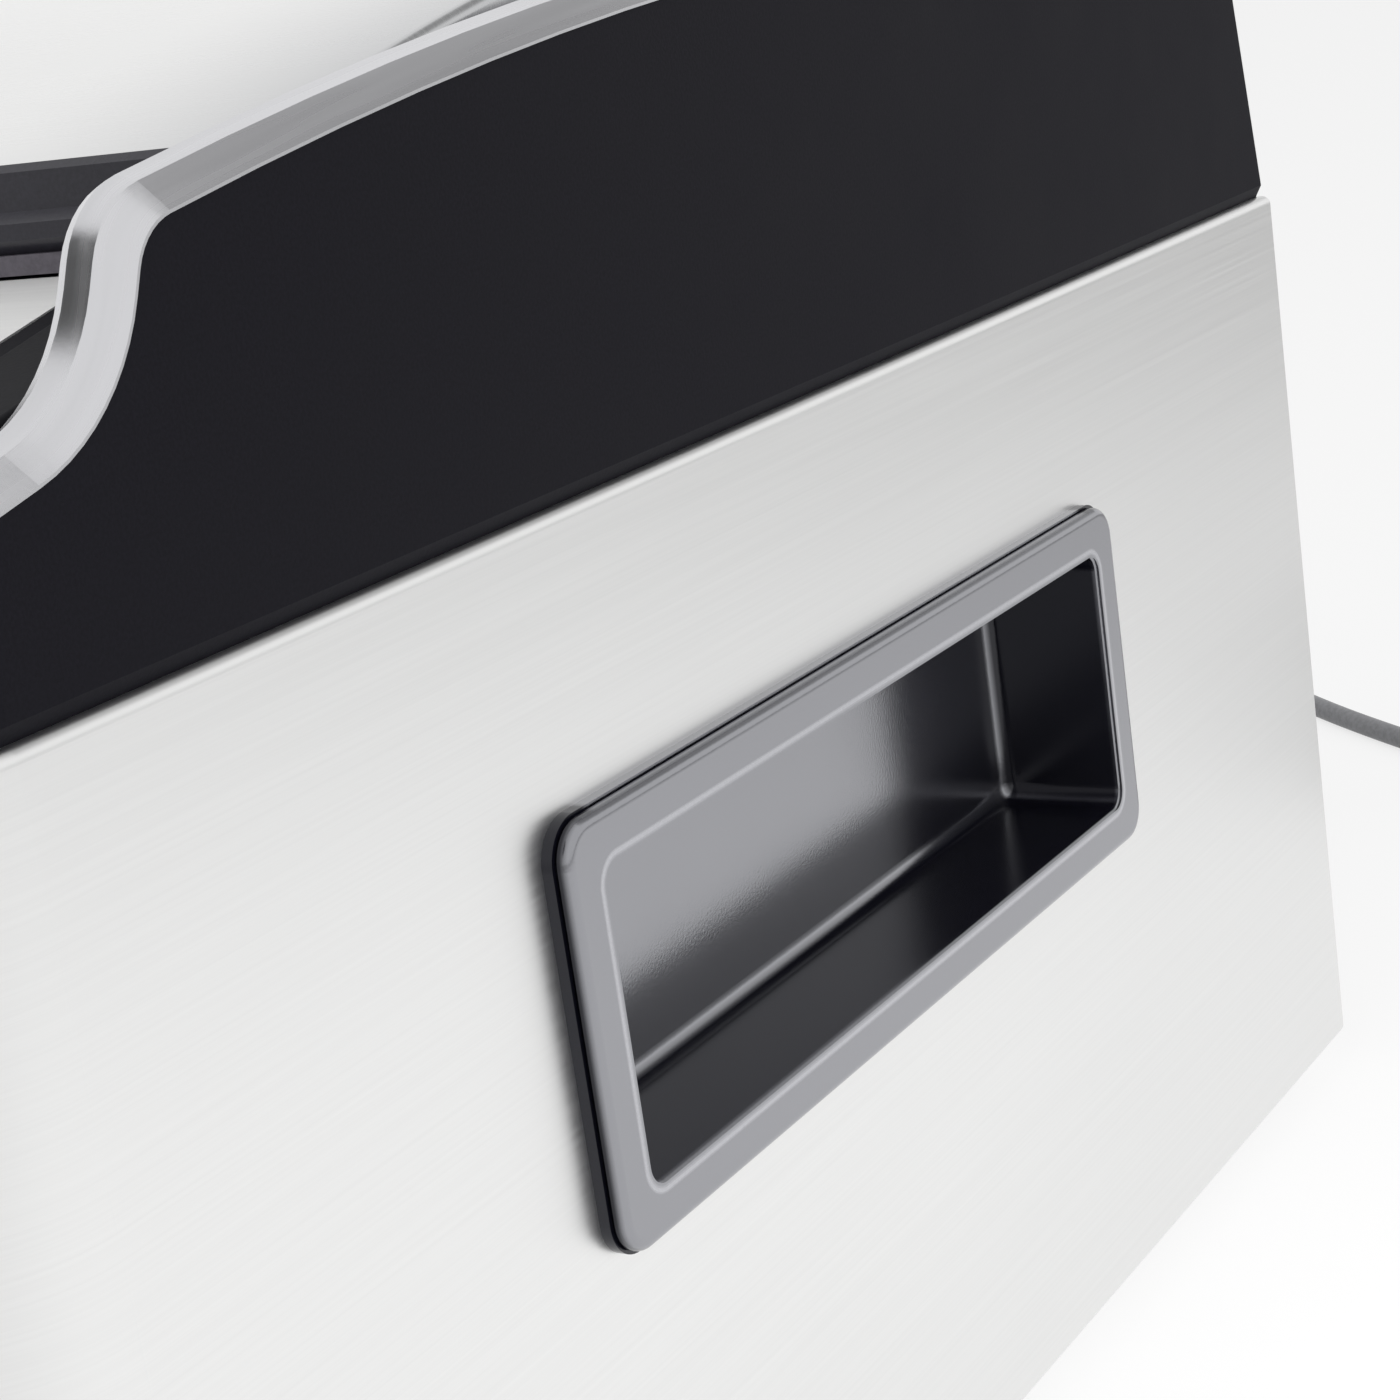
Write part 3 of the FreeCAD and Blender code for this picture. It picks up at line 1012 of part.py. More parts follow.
def air_hoses():
    """Manifold over the valve, with hoses from the trough's port and to the two pumps."""
    x, y, z = MANIFOLD
    right = x + MANIFOLD_HALF
    left = x - MANIFOLD_HALF
    front = y - MANIFOLD_RADIUS
    port_z = PLATFORM_Z - TROUGH_DEPTH - 8
    nozzle_z = PUMP_Z + 44
    near_x = PUMP_PLACES[0] - 24
    far_x = PUMP_PLACES[1] - 24
    suction = [(PORT_X, TROUGH_Y, port_z), (PORT_X, TROUGH_Y, port_z - 20), (PORT_X - 10, TROUGH_Y - 12, z + 10),
               (right + 24, y, z), (right, y, z)]
    near = [(x, front, z), (x, front - 16, z), (x - 10, PUMP_Y + 6, z + 7), (near_x, PUMP_Y, z + 10),
            (near_x, PUMP_Y, nozzle_z)]
    far = [(left, y, z), (left - 30, y, z), (16, y - 6, z + 8), (-36, PUMP_Y + 16, z + 16),
           (far_x, PUMP_Y, nozzle_z + 30), (far_x, PUMP_Y, nozzle_z)]
    manifold = rod((x, y, z), (1, 0, 0), MANIFOLD_RADIUS, 2 * MANIFOLD_HALF)
    routes = {"suction hose": suction, "near hose": near, "far hose": far}
    hoses = [tube(route, 2.5, name) for name, route in routes.items()]
    joints = manifold.cut(hoses[1])
    return Part.makeCompound([joints] + hoses)


# ---- mains inlet, switch and cord -----------------------------------------------------------------------
PANEL_FACE_Y = REAR_Y - SHEET


def switch_housing():
    bezel = box(SWITCH_X - 12, SWITCH_X + 12, PANEL_FACE_Y, PANEL_FACE_Y + 0.8, GLAND_Z - 9, GLAND_Z + 9)
    body = box(SWITCH_X - 10, SWITCH_X + 10, PANEL_FACE_Y - 18, PANEL_FACE_Y, GLAND_Z - 7, GLAND_Z + 7)
    pocket = box(SWITCH_X - 9.2, SWITCH_X + 9.2, PANEL_FACE_Y - 13, PANEL_FACE_Y + 2, GLAND_Z - 5.4, GLAND_Z + 5.4)
    pivot = rod((SWITCH_X, PANEL_FACE_Y - 6, GLAND_Z), (0, 0, 1), 1.25, 12.4)
    blades = [box(x - 0.4, x + 0.4, PANEL_FACE_Y - 26, PANEL_FACE_Y - 18, GLAND_Z - 3, GLAND_Z + 3)
              for x in (SWITCH_X - 6, SWITCH_X, SWITCH_X + 6)]
    return cut(fuse([bezel, body] + blades), [pocket, pivot])


def switch_rocker():
    """Rocker in its off position, tipped half its range about the upright pivot."""
    y = PANEL_FACE_Y - 6
    profile = [(-8, 1), (-8, 5.6), (0, 4.6), (8, 5.6), (8, 1), (0, -3)]
    corners = [V(SWITCH_X + a, y + b, GLAND_Z - 5.1) for a, b in profile]
    body = Part.Face(Part.makePolygon(corners + [corners[0]])).extrude(V(0, 0, 10.2))
    stubs = rod((SWITCH_X, y, GLAND_Z), (0, 0, 1), 1.2, 12)
    body = fuse([body, stubs])
    body.rotate(V(SWITCH_X, y, GLAND_Z), V(0, 0, 1), -ROCKER_TILT)
    return body


ROCKER_TILT = 7.0
GLAND_LENGTH = 32.0


def cord_gland():
    """Moulded strain relief: inner flange, collar in the panel and a ribbed taper outside."""
    y = PANEL_FACE_Y
    flange = rod((GLAND_X, y - 3, GLAND_Z), (0, 1, 0), 8, 3)
    collar = rod((GLAND_X, y - 0.75, GLAND_Z), (0, 1, 0), 6.1, 1.5)
    outer = rod((GLAND_X, y + 1.5, GLAND_Z), (0, 1, 0), 7.5, 3)
    taper = Part.makeCone(5.5, 3.1, GLAND_LENGTH - 3, V(GLAND_X, y + 3, GLAND_Z), V(0, 1, 0))
    body = fuse([flange, collar, outer, taper])
    ribs = []
    for index in range(4):
        at = y + 8 + 5.5 * index
        ring = rod((GLAND_X, at, GLAND_Z), (0, 1, 0), 9, 1.6)
        ribs.append(ring.cut(rod((GLAND_X, at, GLAND_Z), (0, 1, 0), 4.2 - 0.35 * index, 3)))
    return cut(body, ribs)


CORD_ROUTE = [
    (112.0, PANEL_FACE_Y + GLAND_LENGTH, 58.0),
    (112.0, 206.0, 58.0),
    (111.5, 238.0, 49.0),
    (110.5, 270.0, 28.0),
    (109.0, 300.0, 9.5),
    (110.5, 329.0, 2.4),
    (120.5, 346.0, 2.4),
    (137.5, 353.5, 2.4),
    (156.0, 348.0, 2.4),
    (175.0, 331.0, 2.4),
    (197.0, 314.0, 2.4),
    (214.0, 302.5, 2.4),
    (229.1, 293.4, 2.4),
]
CORD_PITCH = 2 * CORD_RADIUS
COIL_MEAN_RADIUS = 6 * CORD_PITCH
COIL_ROWS = 4
COIL_LAYERS = 2
COIL_SLACK = 0.2
PLUG_HEADING = 90.0
PLUG_NECK = 28.0
PLUG_RADIUS = 18.5


def coil_reach():
    """Half width of the wound section, the outer turn's radius, and the run from its tangent to the outside."""
    half = COIL_ROWS * CORD_PITCH / 2
    outer_turn = COIL_MEAN_RADIUS + half - CORD_RADIUS
    outside = COIL_MEAN_RADIUS + half + COIL_SLACK
    return half + COIL_SLACK, outer_turn, math.sqrt(outside ** 2 - outer_turn ** 2)


def coil_centre():
    """The cord's last run, carried on, touches the outer turn; the turns lie to its left."""
    half, outer_turn, run = coil_reach()
    before = V(*CORD_ROUTE[-2])
    end = V(*CORD_ROUTE[-1])
    ahead = (end - before).normalize()
    left = V(-ahead.y, ahead.x, 0)
    return end + ahead * run + left * outer_turn


def power_cord():
    return tube(CORD_ROUTE, CORD_RADIUS, "power cord")


def cord_coil():
    """Closed outer shape of the wound cord, four turns wide and two high."""
    half = coil_reach()[0]
    centre = coil_centre()
    height = COIL_LAYERS * CORD_PITCH + COIL_SLACK
    base = V(centre.x, centre.y, 0.1)
    ring = Part.makeCylinder(COIL_MEAN_RADIUS + half, height, base)
    ring = ring.cut(Part.makeCylinder(COIL_MEAN_RADIUS - half, height, base))
    return ring.makeFillet(0.9 * CORD_RADIUS, edges_where(ring, lambda b: b.ZLength < 0.01))


def plug():
    """Two-pin earthed plug lying on its back, its tapered neck at the coil's side."""
    body = Part.makeCylinder(PLUG_RADIUS, 16, V(0, 0, 0.1))
    body = body.makeFillet(2, edges_where(body, lambda b: b.ZMax < 0.2))
    face = Part.makeCylinder(PLUG_RADIUS - 2, 3, V(0, 0, 16.1))
    groove_y = PLUG_RADIUS - 1
    grooves = [box(-3.5, 3.5, side * groove_y - 2, side * groove_y + 2, 8, 20) for side in (-1, 1)]
    pins = [Part.makeCylinder(2.4, 19, V(side * 9.5, 0, 19.1)) for side in (-1, 1)]
    pins = [pin.makeFillet(1.2, edges_where(pin, lambda b: b.ZMin > 38)) for pin in pins]
    neck_z = 0.1 + CORD_PITCH * (COIL_LAYERS - 0.5)
    neck = Part.makeCone(3.2, 6.0, PLUG_NECK + 4, V(-PLUG_RADIUS - PLUG_NECK, 0, neck_z), V(1, 0, 0))
    shape = cut(fuse([body, face, neck] + pins), grooves)
    shape.rotate(V(0, 0, 0), V(0, 0, 1), PLUG_HEADING)
    half, outer_turn, run = coil_reach()
    angle = math.radians(PLUG_HEADING)
    ahead = V(math.cos(angle), math.sin(angle), 0)
    leave = coil_centre() + V(ahead.y, -ahead.x, 0) * outer_turn
    place = leave + ahead * (run + PLUG_NECK + PLUG_RADIUS)
    shape.translate(V(place.x, place.y, 0))
    return shape


# ---- all nodes ------------------------------------------------------------------------------------------
def all_parts():
    parts = {
        "steel_shell": steel_shell(),
        "base_pan": base_pan(),
        "feet": feet(),
        "foot_screws": foot_screws(),
        "rear_panel": rear_panel(),
        "rear_screws": rear_screws(),
        "top_frame": top_frame(),
        "deck_panel": deck_panel(),
        "control_panel": control_panel(),
        "display_window": display_window(),
        "control_board": control_board(),
        "cheek_screws": cheek_screws(),
        "frame_screws": frame_screws(),
        "latch_pins": latch_pins(),
        "seal_bar": seal_bar(),
        "heating_strip": heating_strip(),
        "seal_tape": seal_tape(),
        "vacuum_trough": vacuum_trough(),
        "lower_gasket": lower_gasket(),
        "roll_box": roll_box(),
        "cutter_rail": cutter_rail(),
        "cutter_slider": cutter_slider(),
        "lid_skin": lid_skin(),
        "lid_frame": lid_frame(),
        "lid_front_rail": lid_front_rail(),
        "lid_edge_seal": lid_edge_seal(),
        "upper_gasket": upper_gasket(),
        "counter_pad": counter_pad(),
        "lid_catches": lid_catches(),
        "hinge_pins": hinge_pins(),
        "pump_mounts": pump_mounts(),
        "transformer": transformer(),
        "main_board": main_board(),
        "release_valve": release_valve(),
        "air_hoses": air_hoses(),
        "switch_housing": switch_housing(),
        "switch_rocker": switch_rocker(),
        "cord_gland": cord_gland(),
        "power_cord": power_cord(),
        "cord_coil": cord_coil(),
        "plug": plug(),
    }
    parts["cord_coil"] = parts["cord_coil"].cut(parts["power_cord"])
    parts["plug"] = parts["plug"].cut(parts["cord_coil"])
    paired = {
        "side_grip": side_grip(),
        "side_cheek": side_cheek(),
        "cheek_trim": cheek_trim(),
        "release_key": release_key(),
        "latch_lever": latch_lever(),
    }
    for name, shape in paired.items():
        parts[name + "_right"] = shape
        parts[name + "_left"] = mirrored(shape)
    for index, x in enumerate(button_places()):
        parts["button_%d" % (index + 1)] = control_button(x)
    for name, x in zip(("pump_right", "pump_left"), PUMP_PLACES):
        parts[name] = vacuum_pump(x)
    return parts


def main():
    os.makedirs("parts", exist_ok=True)
    for name, shape in all_parts().items():
        if not shape.isValid():
            print("not valid:", name)
        shape.exportStep(os.path.join("parts", name + ".step"))
        print("%-20s %d solids  %.0f mm3" % (name, len(shape.Solids), shape.Volume))


main()
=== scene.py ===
import math

import bmesh
import bpy
from mathutils import Matrix, Vector


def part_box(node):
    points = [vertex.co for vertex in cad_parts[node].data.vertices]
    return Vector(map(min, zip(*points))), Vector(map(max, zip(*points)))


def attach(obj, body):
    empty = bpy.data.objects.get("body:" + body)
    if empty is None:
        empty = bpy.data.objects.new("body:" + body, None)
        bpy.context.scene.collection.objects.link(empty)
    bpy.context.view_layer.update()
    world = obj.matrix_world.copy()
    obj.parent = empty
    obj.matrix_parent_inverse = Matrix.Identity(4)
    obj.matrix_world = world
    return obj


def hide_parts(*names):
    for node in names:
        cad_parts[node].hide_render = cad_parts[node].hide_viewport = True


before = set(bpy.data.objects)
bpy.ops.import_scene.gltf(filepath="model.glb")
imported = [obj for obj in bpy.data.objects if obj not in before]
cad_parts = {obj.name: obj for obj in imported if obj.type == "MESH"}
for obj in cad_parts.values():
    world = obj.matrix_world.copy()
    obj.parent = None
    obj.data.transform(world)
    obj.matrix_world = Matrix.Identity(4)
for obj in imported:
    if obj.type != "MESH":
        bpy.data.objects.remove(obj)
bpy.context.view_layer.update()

bl_info = {
    "name": "Vacuum Sealer Dresser",
    "version": (1, 0, 0),
    "blender": (4, 5, 0),
    "location": "View3D > Sidebar > Sealer",
    "description": "Dresses the packed vacuum sealer with finishes, its cord and a studio",
    "category": "Object",
}

# The deck: its slope, and the middle of its rear edge, in metres.
DECK_SLOPE = math.radians(13.0)
DECK_REAR = Vector((0.0, -0.084, 0.176))

# The buttons, and the lamp behind each: its radius, how much it is flattened, how far down the
# slope it stands from the deck's rear edge, and how far its middle is above the deck.
BUTTONS = ["button_%d" % (index + 1) for index in range(6)]
LAMP_RADIUS = 0.0013
LAMP_FLATNESS = 0.55
LAMP_SETBACK = 0.0225
LAMP_PROUD = 0.0008

# The lid's sheet: the height of its front and rear edges, its gauge, and the radius along its
# ends. It is drawn a little too wide and too long, by the spare depth and sweep, and trimmed.
LID_LOW, LID_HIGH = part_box("lid_skin")
LID_EDGE_Z = 0.1871
SHEET = 0.001
SHEET_RIM = 0.0012
RIM_STEPS = 6
CROWN_STEPS = 112
SPARE_DEPTH = 0.002
SPARE_SWEEP = math.radians(2.0)
SHARP_ANGLE = math.radians(40.0)
MERGE = 1e-7

# Painted shade that darkens the lid toward its ends: how far in from them it starts, how far past
# them it would be whole, the power that makes it start slowly, and the tone that it darkens to.
END_SHADE_REACH = 0.044
END_SHADE_PAST = 0.0005
END_SHADE_POWER = 1.6
END_SHADE_TONE = (0.67, 0.675, 0.69)

# The right-hand grip: the cup is its box less the border. The left-hand one mirrors it.
GRIP_LOW, GRIP_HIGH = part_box("side_grip_right")
GRIP_BORDER = 0.0062
CUP_MOUTH_X = GRIP_HIGH.x
CUP_FLOOR_Z = GRIP_LOW.z + GRIP_BORDER
CUP_TOP_Z = GRIP_HIGH.z - GRIP_BORDER
CUP_CORNER = 0.0026
CUP_CENTRE_Y = (GRIP_LOW.y + GRIP_HIGH.y) / 2
CUP_HALF_LENGTH = (GRIP_HIGH.y - GRIP_LOW.y) / 2 - GRIP_BORDER

# The cup's floor and ends are dull: the distances from them at which the dullness starts and
# is whole, and the depths below the mouth at which it is still whole and is gone. Then how
# far outside the mouth the painted highlight along its edge comes up and dies away.
DULL_FROM_FACE = (0.0014, 0.0004)
DULL_BELOW_MOUTH = (0.0012, 0.0004)
EDGE_HIGHLIGHT_RISE = (0.0002, 0.0006)
EDGE_HIGHLIGHT_FALL = (0.0009, 0.0012)

# The cord's route from the strain relief to the coil, in metres.
CORD_ROUTE = [
    (0.1120, 0.17825, 0.0580),
    (0.1120, 0.2060, 0.0580),
    (0.1115, 0.2380, 0.0490),
    (0.1105, 0.2700, 0.0280),
    (0.1090, 0.3000, 0.0095),
    (0.1105, 0.3290, 0.0024),
    (0.1205, 0.3460, 0.0024),
    (0.1375, 0.3535, 0.0024),
    (0.1560, 0.3480, 0.0024),
    (0.1750, 0.3310, 0.0024),
    (0.1970, 0.3140, 0.0024),
    (0.2140, 0.3025, 0.0024),
    (0.2291, 0.2934, 0.0024),
]

# The coil: rows side by side, whole turns before the cord leaves it, and the share of a turn
# in which the cord steps over to the next row. The cord leaves it at the plug's heading, and
# its last two points lie this far along that way.
COIL_LOW, COIL_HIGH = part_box("cord_coil")
COIL_ROWS = 4
COIL_SLACK = 0.0002
COIL_EXIT_TURNS = 7
POINTS_PER_TURN = 16
STEP_WINDOW = 0.22
PLUG_HEADING = math.radians(90.0)
PLUG_LEAD = (0.009, 0.0165)

# The camera stands beside the right-hand end and looks along the side to the rear: its place
# in metres, the directions to its right and behind it, and its lens in millimetres.
CAMERA_PLACE = (0.40621, -0.28824, 0.20201)
CAMERA_RIGHT = (0.8494, 0.5089, -0.1397)
CAMERA_BACK = (0.5273, -0.8087, 0.2605)
CAMERA_LENS = 75.4

# The pool of light on the floor: its brightness fades from the near radius to the far one.
# The floor's glow is this share of its look where it is seen or mirrored.
POOL_CENTRE = (0.45, 0.0, 0.0)
POOL_NEAR_RADIUS = 0.15
POOL_FAR_RADIUS = 1.15
POOL_BRIGHT = 1.17
POOL_FAR = 0.42
FLOOR_RADIUS = 6.0
FLOOR_GLOW = 0.74

# The dark flags that the bright pieces mirror: azimuth and elevation of each flag's middle,
# its inner and outer half angles, all in degrees, and its depth.
DARK_FLAGS = (
    ((77.0, 42.0), 10.0, 26.0, 0.6),
    ((-102.0, 40.0), 12.0, 27.0, 0.93),
)
WHITE = (1.0, 1.0, 1.0)


# ---- sizes and colours that a user may change ---------------------------------------------------
class SealerSteel(bpy.types.PropertyGroup):
    """How the brushed sheet looks."""

    colour: bpy.props.FloatVectorProperty(
        name="Colour", description="Reflected colour of the sheet", subtype="COLOR", size=3,
        default=(0.83, 0.83, 0.825), min=0.0, max=1.0)
    roughness: bpy.props.FloatProperty(
        name="Roughness", description="Mean roughness across the hairlines", subtype="FACTOR",
        default=0.34, min=0.0, max=1.0)
    hairline: bpy.props.FloatProperty(
        name="Hairlines per metre", description="How fine the brushing is",
        default=2600.0, min=100.0, max=8000.0)


class SealerPlastic(bpy.types.PropertyGroup):
    """How the black mouldings look."""

    cheek: bpy.props.FloatVectorProperty(
        name="Cheek colour", description="Colour of the cheeks and the top frame", subtype="COLOR", size=3,
        default=(0.0102, 0.0098, 0.0140), min=0.0, max=1.0)
    grip: bpy.props.FloatVectorProperty(
        name="Grip colour", description="Colour of the side grips", subtype="COLOR", size=3,
        default=(0.006, 0.006, 0.011), min=0.0, max=1.0)
    grain: bpy.props.FloatProperty(
        name="Grain per metre", description="How fine the moulded grain is",
        default=2600.0, min=200.0, max=9000.0)


class SealerCord(bpy.types.PropertyGroup):
    """The free power cord."""

    diameter: bpy.props.FloatProperty(
        name="Diameter", description="Outside diameter of the cord", subtype="DISTANCE", unit="LENGTH",
        default=0.0046, min=0.003, max=0.01)
    length: bpy.props.FloatProperty(
        name="Stated length", description="Length stated for the lead; its drawn route doesn't follow it",
        subtype="DISTANCE", unit="LENGTH", default=1.53, min=0.5, max=3.0)
    colour: bpy.props.FloatVectorProperty(
        name="Colour", description="Colour of the sheath", subtype="COLOR", size=3,
        default=(0.20, 0.202, 0.212), min=0.0, max=1.0)


class SealerStudio(bpy.types.PropertyGroup):
    """Lamps and background."""

    key: bpy.props.FloatProperty(
        name="Key lamp", description="Power of the large lamp above", unit="POWER",
        default=9.0, min=0.0, max=100.0)
    fill: bpy.props.FloatProperty(
        name="Fill lamp", description="Power of the side lamp", unit="POWER",
        default=3.0, min=0.0, max=100.0)
    sky: bpy.props.FloatProperty(
        name="Sky", description="Strength of the even light from all round",
        default=0.62, min=0.0, max=3.0)


# ---- node helpers --------------------------------------------------------------------------------
class Nodes:
    """A node tree under construction, with short ways to add and join its nodes."""

    def __init__(self, tree):
        self.tree = tree

    def node(self, kind, **values):
        made = self.tree.nodes.new(kind)
        for key, value in values.items():
            setattr(made, key, value)
        return made

    def feed(self, value, socket):
        """Joins an output to a socket, or writes a plain value to it."""
        if isinstance(value, bpy.types.NodeSocket):
            self.tree.links.new(value, socket)
        else:
            socket.default_value = value

    def maths(self, operation, *values):
        made = self.node("ShaderNodeMath", operation=operation)
        for value, socket in zip(values, made.inputs):
            self.feed(value, socket)
        return made.outputs["Value"]

    def vector_maths(self, operation, *values, result="Vector"):
        made = self.node("ShaderNodeVectorMath", operation=operation)
        for value, socket in zip(values, made.inputs):
            self.feed(value, socket)
        return made.outputs[result]

    def span(self, factor, low, high, start=0.3, end=0.7, ease="LINEAR"):
        """A number between low and high, as the factor goes from start to end."""
        made = self.node("ShaderNodeMapRange", interpolation_type=ease)
        for name, value in (("From Min", start), ("From Max", end), ("To Min", low), ("To Max", high)):
            made.inputs[name].default_value = value
        self.feed(factor, made.inputs["Value"])
        return made.outputs["Result"]


class Finish(Nodes):
    """A node material under construction."""

    def __init__(self, name):
        self.material = bpy.data.materials.new(name)
        self.material.use_nodes = True
        super().__init__(self.material.node_tree)
        self.shader = self.tree.nodes["Principled BSDF"]

    def wire(self, **sockets):
        """Joins outputs to the shader's sockets, or writes plain values to them."""
        for name, value in sockets.items():
            self.feed(value, self.shader.inputs[name.replace("_", " ")])

    def place(self, scale=WHITE, centre=(0.0, 0.0, 0.0)):
        """The piece's own coordinates, scaled and then moved."""
        mapping = self.node("ShaderNodeMapping")
        mapping.inputs["Scale"].default_value = scale
        mapping.inputs["Location"].default_value = centre
        self.feed(self.node("ShaderNodeTexCoord").outputs["Object"], mapping.inputs["Vector"])
        return mapping.outputs["Vector"]

    def axes(self):
        """The piece's own X, Y and Z, each as a number."""
        apart = self.node("ShaderNodeSeparateXYZ")
        self.feed(self.place(), apart.inputs[0])
        return apart.outputs

    def noise(self, vector, detail=2.0, roughness=0.5):
        made = self.node("ShaderNodeTexNoise")
        made.inputs["Scale"].default_value = 1.0
        made.inputs["Detail"].default_value = detail
        made.inputs["Roughness"].default_value = roughness
        self.feed(vector, made.inputs["Vector"])
        return made.outputs["Fac"]

    def bands(self, direction, pitch, distortion=0.0):
        made = self.node("ShaderNodeTexWave", wave_type="BANDS", bands_direction=direction)
        made.inputs["Scale"].default_value = pitch
        made.inputs["Distortion"].default_value = distortion
        self.feed(self.place(), made.inputs["Vector"])
        return made.outputs["Fac"]

    def ramp(self, factor, low, high, start=0.35, end=0.65):
        """Colours between two ends, as the factor goes from start to end."""
        made = self.node("ShaderNodeValToRGB")
        for element, position, colour in zip(made.color_ramp.elements, (start, end), (low, high)):
            element.position = position
            element.color = (*colour, 1.0)
        self.feed(factor, made.inputs["Fac"])
        return made.outputs["Color"]

    def mix(self, factor, first, second, blend="MIX"):
        made = self.node("ShaderNodeMix", data_type="RGBA", blend_type=blend)
        self.feed(factor, made.inputs["Factor"])
        self.feed(first, made.inputs["A"])
        self.feed(second, made.inputs["B"])
        return made.outputs["Result"]

    def bump(self, height, strength, distance):
        made = self.node("ShaderNodeBump")
        made.inputs["Strength"].default_value = strength
        made.inputs["Distance"].default_value = distance
        self.feed(height, made.inputs["Height"])
        return made.outputs["Normal"]


def shade(colour, factor):
    return tuple(min(1.0, channel * factor) for channel in colour)


def brushed(name, colour, lines, roughness, metallic=1.0, shaded_ends=None):
    """Brushed sheet: hairlines along the axis whose scale is small, with faint broad clouds.

    The last argument gives the distances from the middle, along X, between which painted shade darkens the
    sheet toward its ends."""
    made = Finish(name)
    hair = made.noise(made.place(lines), 3.0, 0.62)
    clouds = made.noise(made.place((9.0, 9.0, 9.0)), 3.0, 0.5)
    tone = made.ramp(hair, shade(colour, 0.972), shade(colour, 1.015), 0.3, 0.7)
    broad = made.ramp(clouds, shade(WHITE, 0.985), WHITE)
    sheet = made.mix(1.0, tone, broad, "MULTIPLY")
    # Painted shade: the sheet is darkened toward its ends.
    if shaded_ends is not None:
        outward = made.span(made.maths("ABSOLUTE", made.axes()["X"]), 0.0, 1.0, *shaded_ends)
        end_shade = made.ramp(made.maths("POWER", outward, END_SHADE_POWER), WHITE, END_SHADE_TONE, 0.0, 1.0)
        sheet = made.mix(1.0, sheet, end_shade, "MULTIPLY")
    made.wire(Base_Color=sheet, Metallic=metallic)
    made.wire(Roughness=made.span(hair, roughness - 0.03, roughness + 0.05))
    made.wire(Normal=made.bump(hair, 0.3, 0.00002))
    return made.material


def moulded(name, colour, roughness, grain, depth=0.00005, specular=0.5, coat=0.0, mottle=0.12):
    """Moulded plastic or rubber: a fine grain in colour, gloss and relief.

    grain is how many grains there are in a metre, depth their relief in metres, and mottle how far the
    colour strays from its mean."""
    made = Finish(name)
    made.wire(Specular_IOR_Level=specular, Coat_Weight=coat, Coat_Roughness=0.25, IOR=1.5)
    fine = made.noise(made.place((grain, grain, grain)), 2.0, 0.6)
    cloud = made.noise(made.place((26.0, 26.0, 26.0)), 4.0, 0.6)
    tone = made.ramp(fine, shade(colour, 1.0 - mottle), shade(colour, 1.0 + mottle))
    wear = made.ramp(cloud, shade(WHITE, 0.93), WHITE, 0.4, 0.6)
    made.wire(Base_Color=made.mix(1.0, tone, wear, "MULTIPLY"))
    made.wire(Roughness=made.span(cloud, roughness - 0.04, roughness + 0.05))
    made.wire(Normal=made.bump(fine, 0.5, depth))
    return made.material


def satin_metal(name, colour, roughness, along=(30.0, 30.0, 30.0)):
    """Plated or lacquered metal with a soft sheen and faint drawing marks."""
    made = Finish(name)
    marks = made.noise(made.place(along), 3.0, 0.55)
    fine = made.noise(made.place((1800.0, 1800.0, 1800.0)), 1.0, 0.5)
    made.wire(Base_Color=made.ramp(marks, shade(colour, 0.94), shade(colour, 1.03)), Metallic=1.0)
    made.wire(Roughness=made.span(marks, roughness - 0.04, roughness + 0.06))
    made.wire(Normal=made.bump(fine, 0.2, 0.00002))
    return made.material


def laminated(name, colour, pitch):
    """Stacked laminations under varnish."""
    made = Finish(name)
    stack = made.bands("X", pitch, 0.4)
    made.wire(Base_Color=made.ramp(stack, shade(colour, 0.7), shade(colour, 1.2), 0.2, 0.8))
    made.wire(Roughness=0.45, Metallic=0.4, Normal=made.bump(stack, 0.4, 0.0002))
    return made.material


def woven(name, colour, pitch):
    """Coated glass cloth: two crossed sets of threads."""
    made = Finish(name)
    threads = made.maths("MAXIMUM", made.bands("X", pitch), made.bands("Y", pitch))
    made.wire(Base_Color=made.ramp(threads, shade(colour, 0.7), shade(colour, 1.15), 0.4, 1.0))
    made.wire(Roughness=0.5, Normal=made.bump(threads, 0.4, 0.0001))
    return made.material


def board_lacquer(name, colour):
    """Green board with traces under the lacquer."""
    made = Finish(name)
    cells = made.node("ShaderNodeTexVoronoi", feature="DISTANCE_TO_EDGE")
    cells.inputs["Scale"].default_value = 180.0
    made.feed(made.place(), cells.inputs["Vector"])
    edge = cells.outputs["Distance"]
    made.wire(Base_Color=made.ramp(edge, shade(colour, 1.7), colour, 0.03, 0.09))
    made.wire(Roughness=0.35, Normal=made.bump(edge, 0.2, 0.0001))
    return made.material


def dress(material, *nodes):
    """Gives CAD nodes their finish."""
    for node in nodes:
        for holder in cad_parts[node].material_slots:
            holder.material = material


def settled(mesh, name, material, body):
    """Makes a smooth piece of a finished mesh, at the origin, riding on a body."""
    piece = bpy.data.objects.new(name, mesh)
    bpy.context.scene.collection.objects.link(piece)
    mesh.materials.append(material)
    for face in mesh.polygons:
        face.use_smooth = True
    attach(piece, body)
    return piece


def on_deck(x, along, above):
    """A point of the deck: x across, along the slope from its rear edge, above its surface."""
    slope = Vector((0.0, math.cos(DECK_SLOPE), math.sin(DECK_SLOPE)))
    normal = Vector((0.0, -math.sin(DECK_SLOPE), math.cos(DECK_SLOPE)))
    return DECK_REAR + Vector((x, 0.0, 0.0)) + slope * along + normal * above


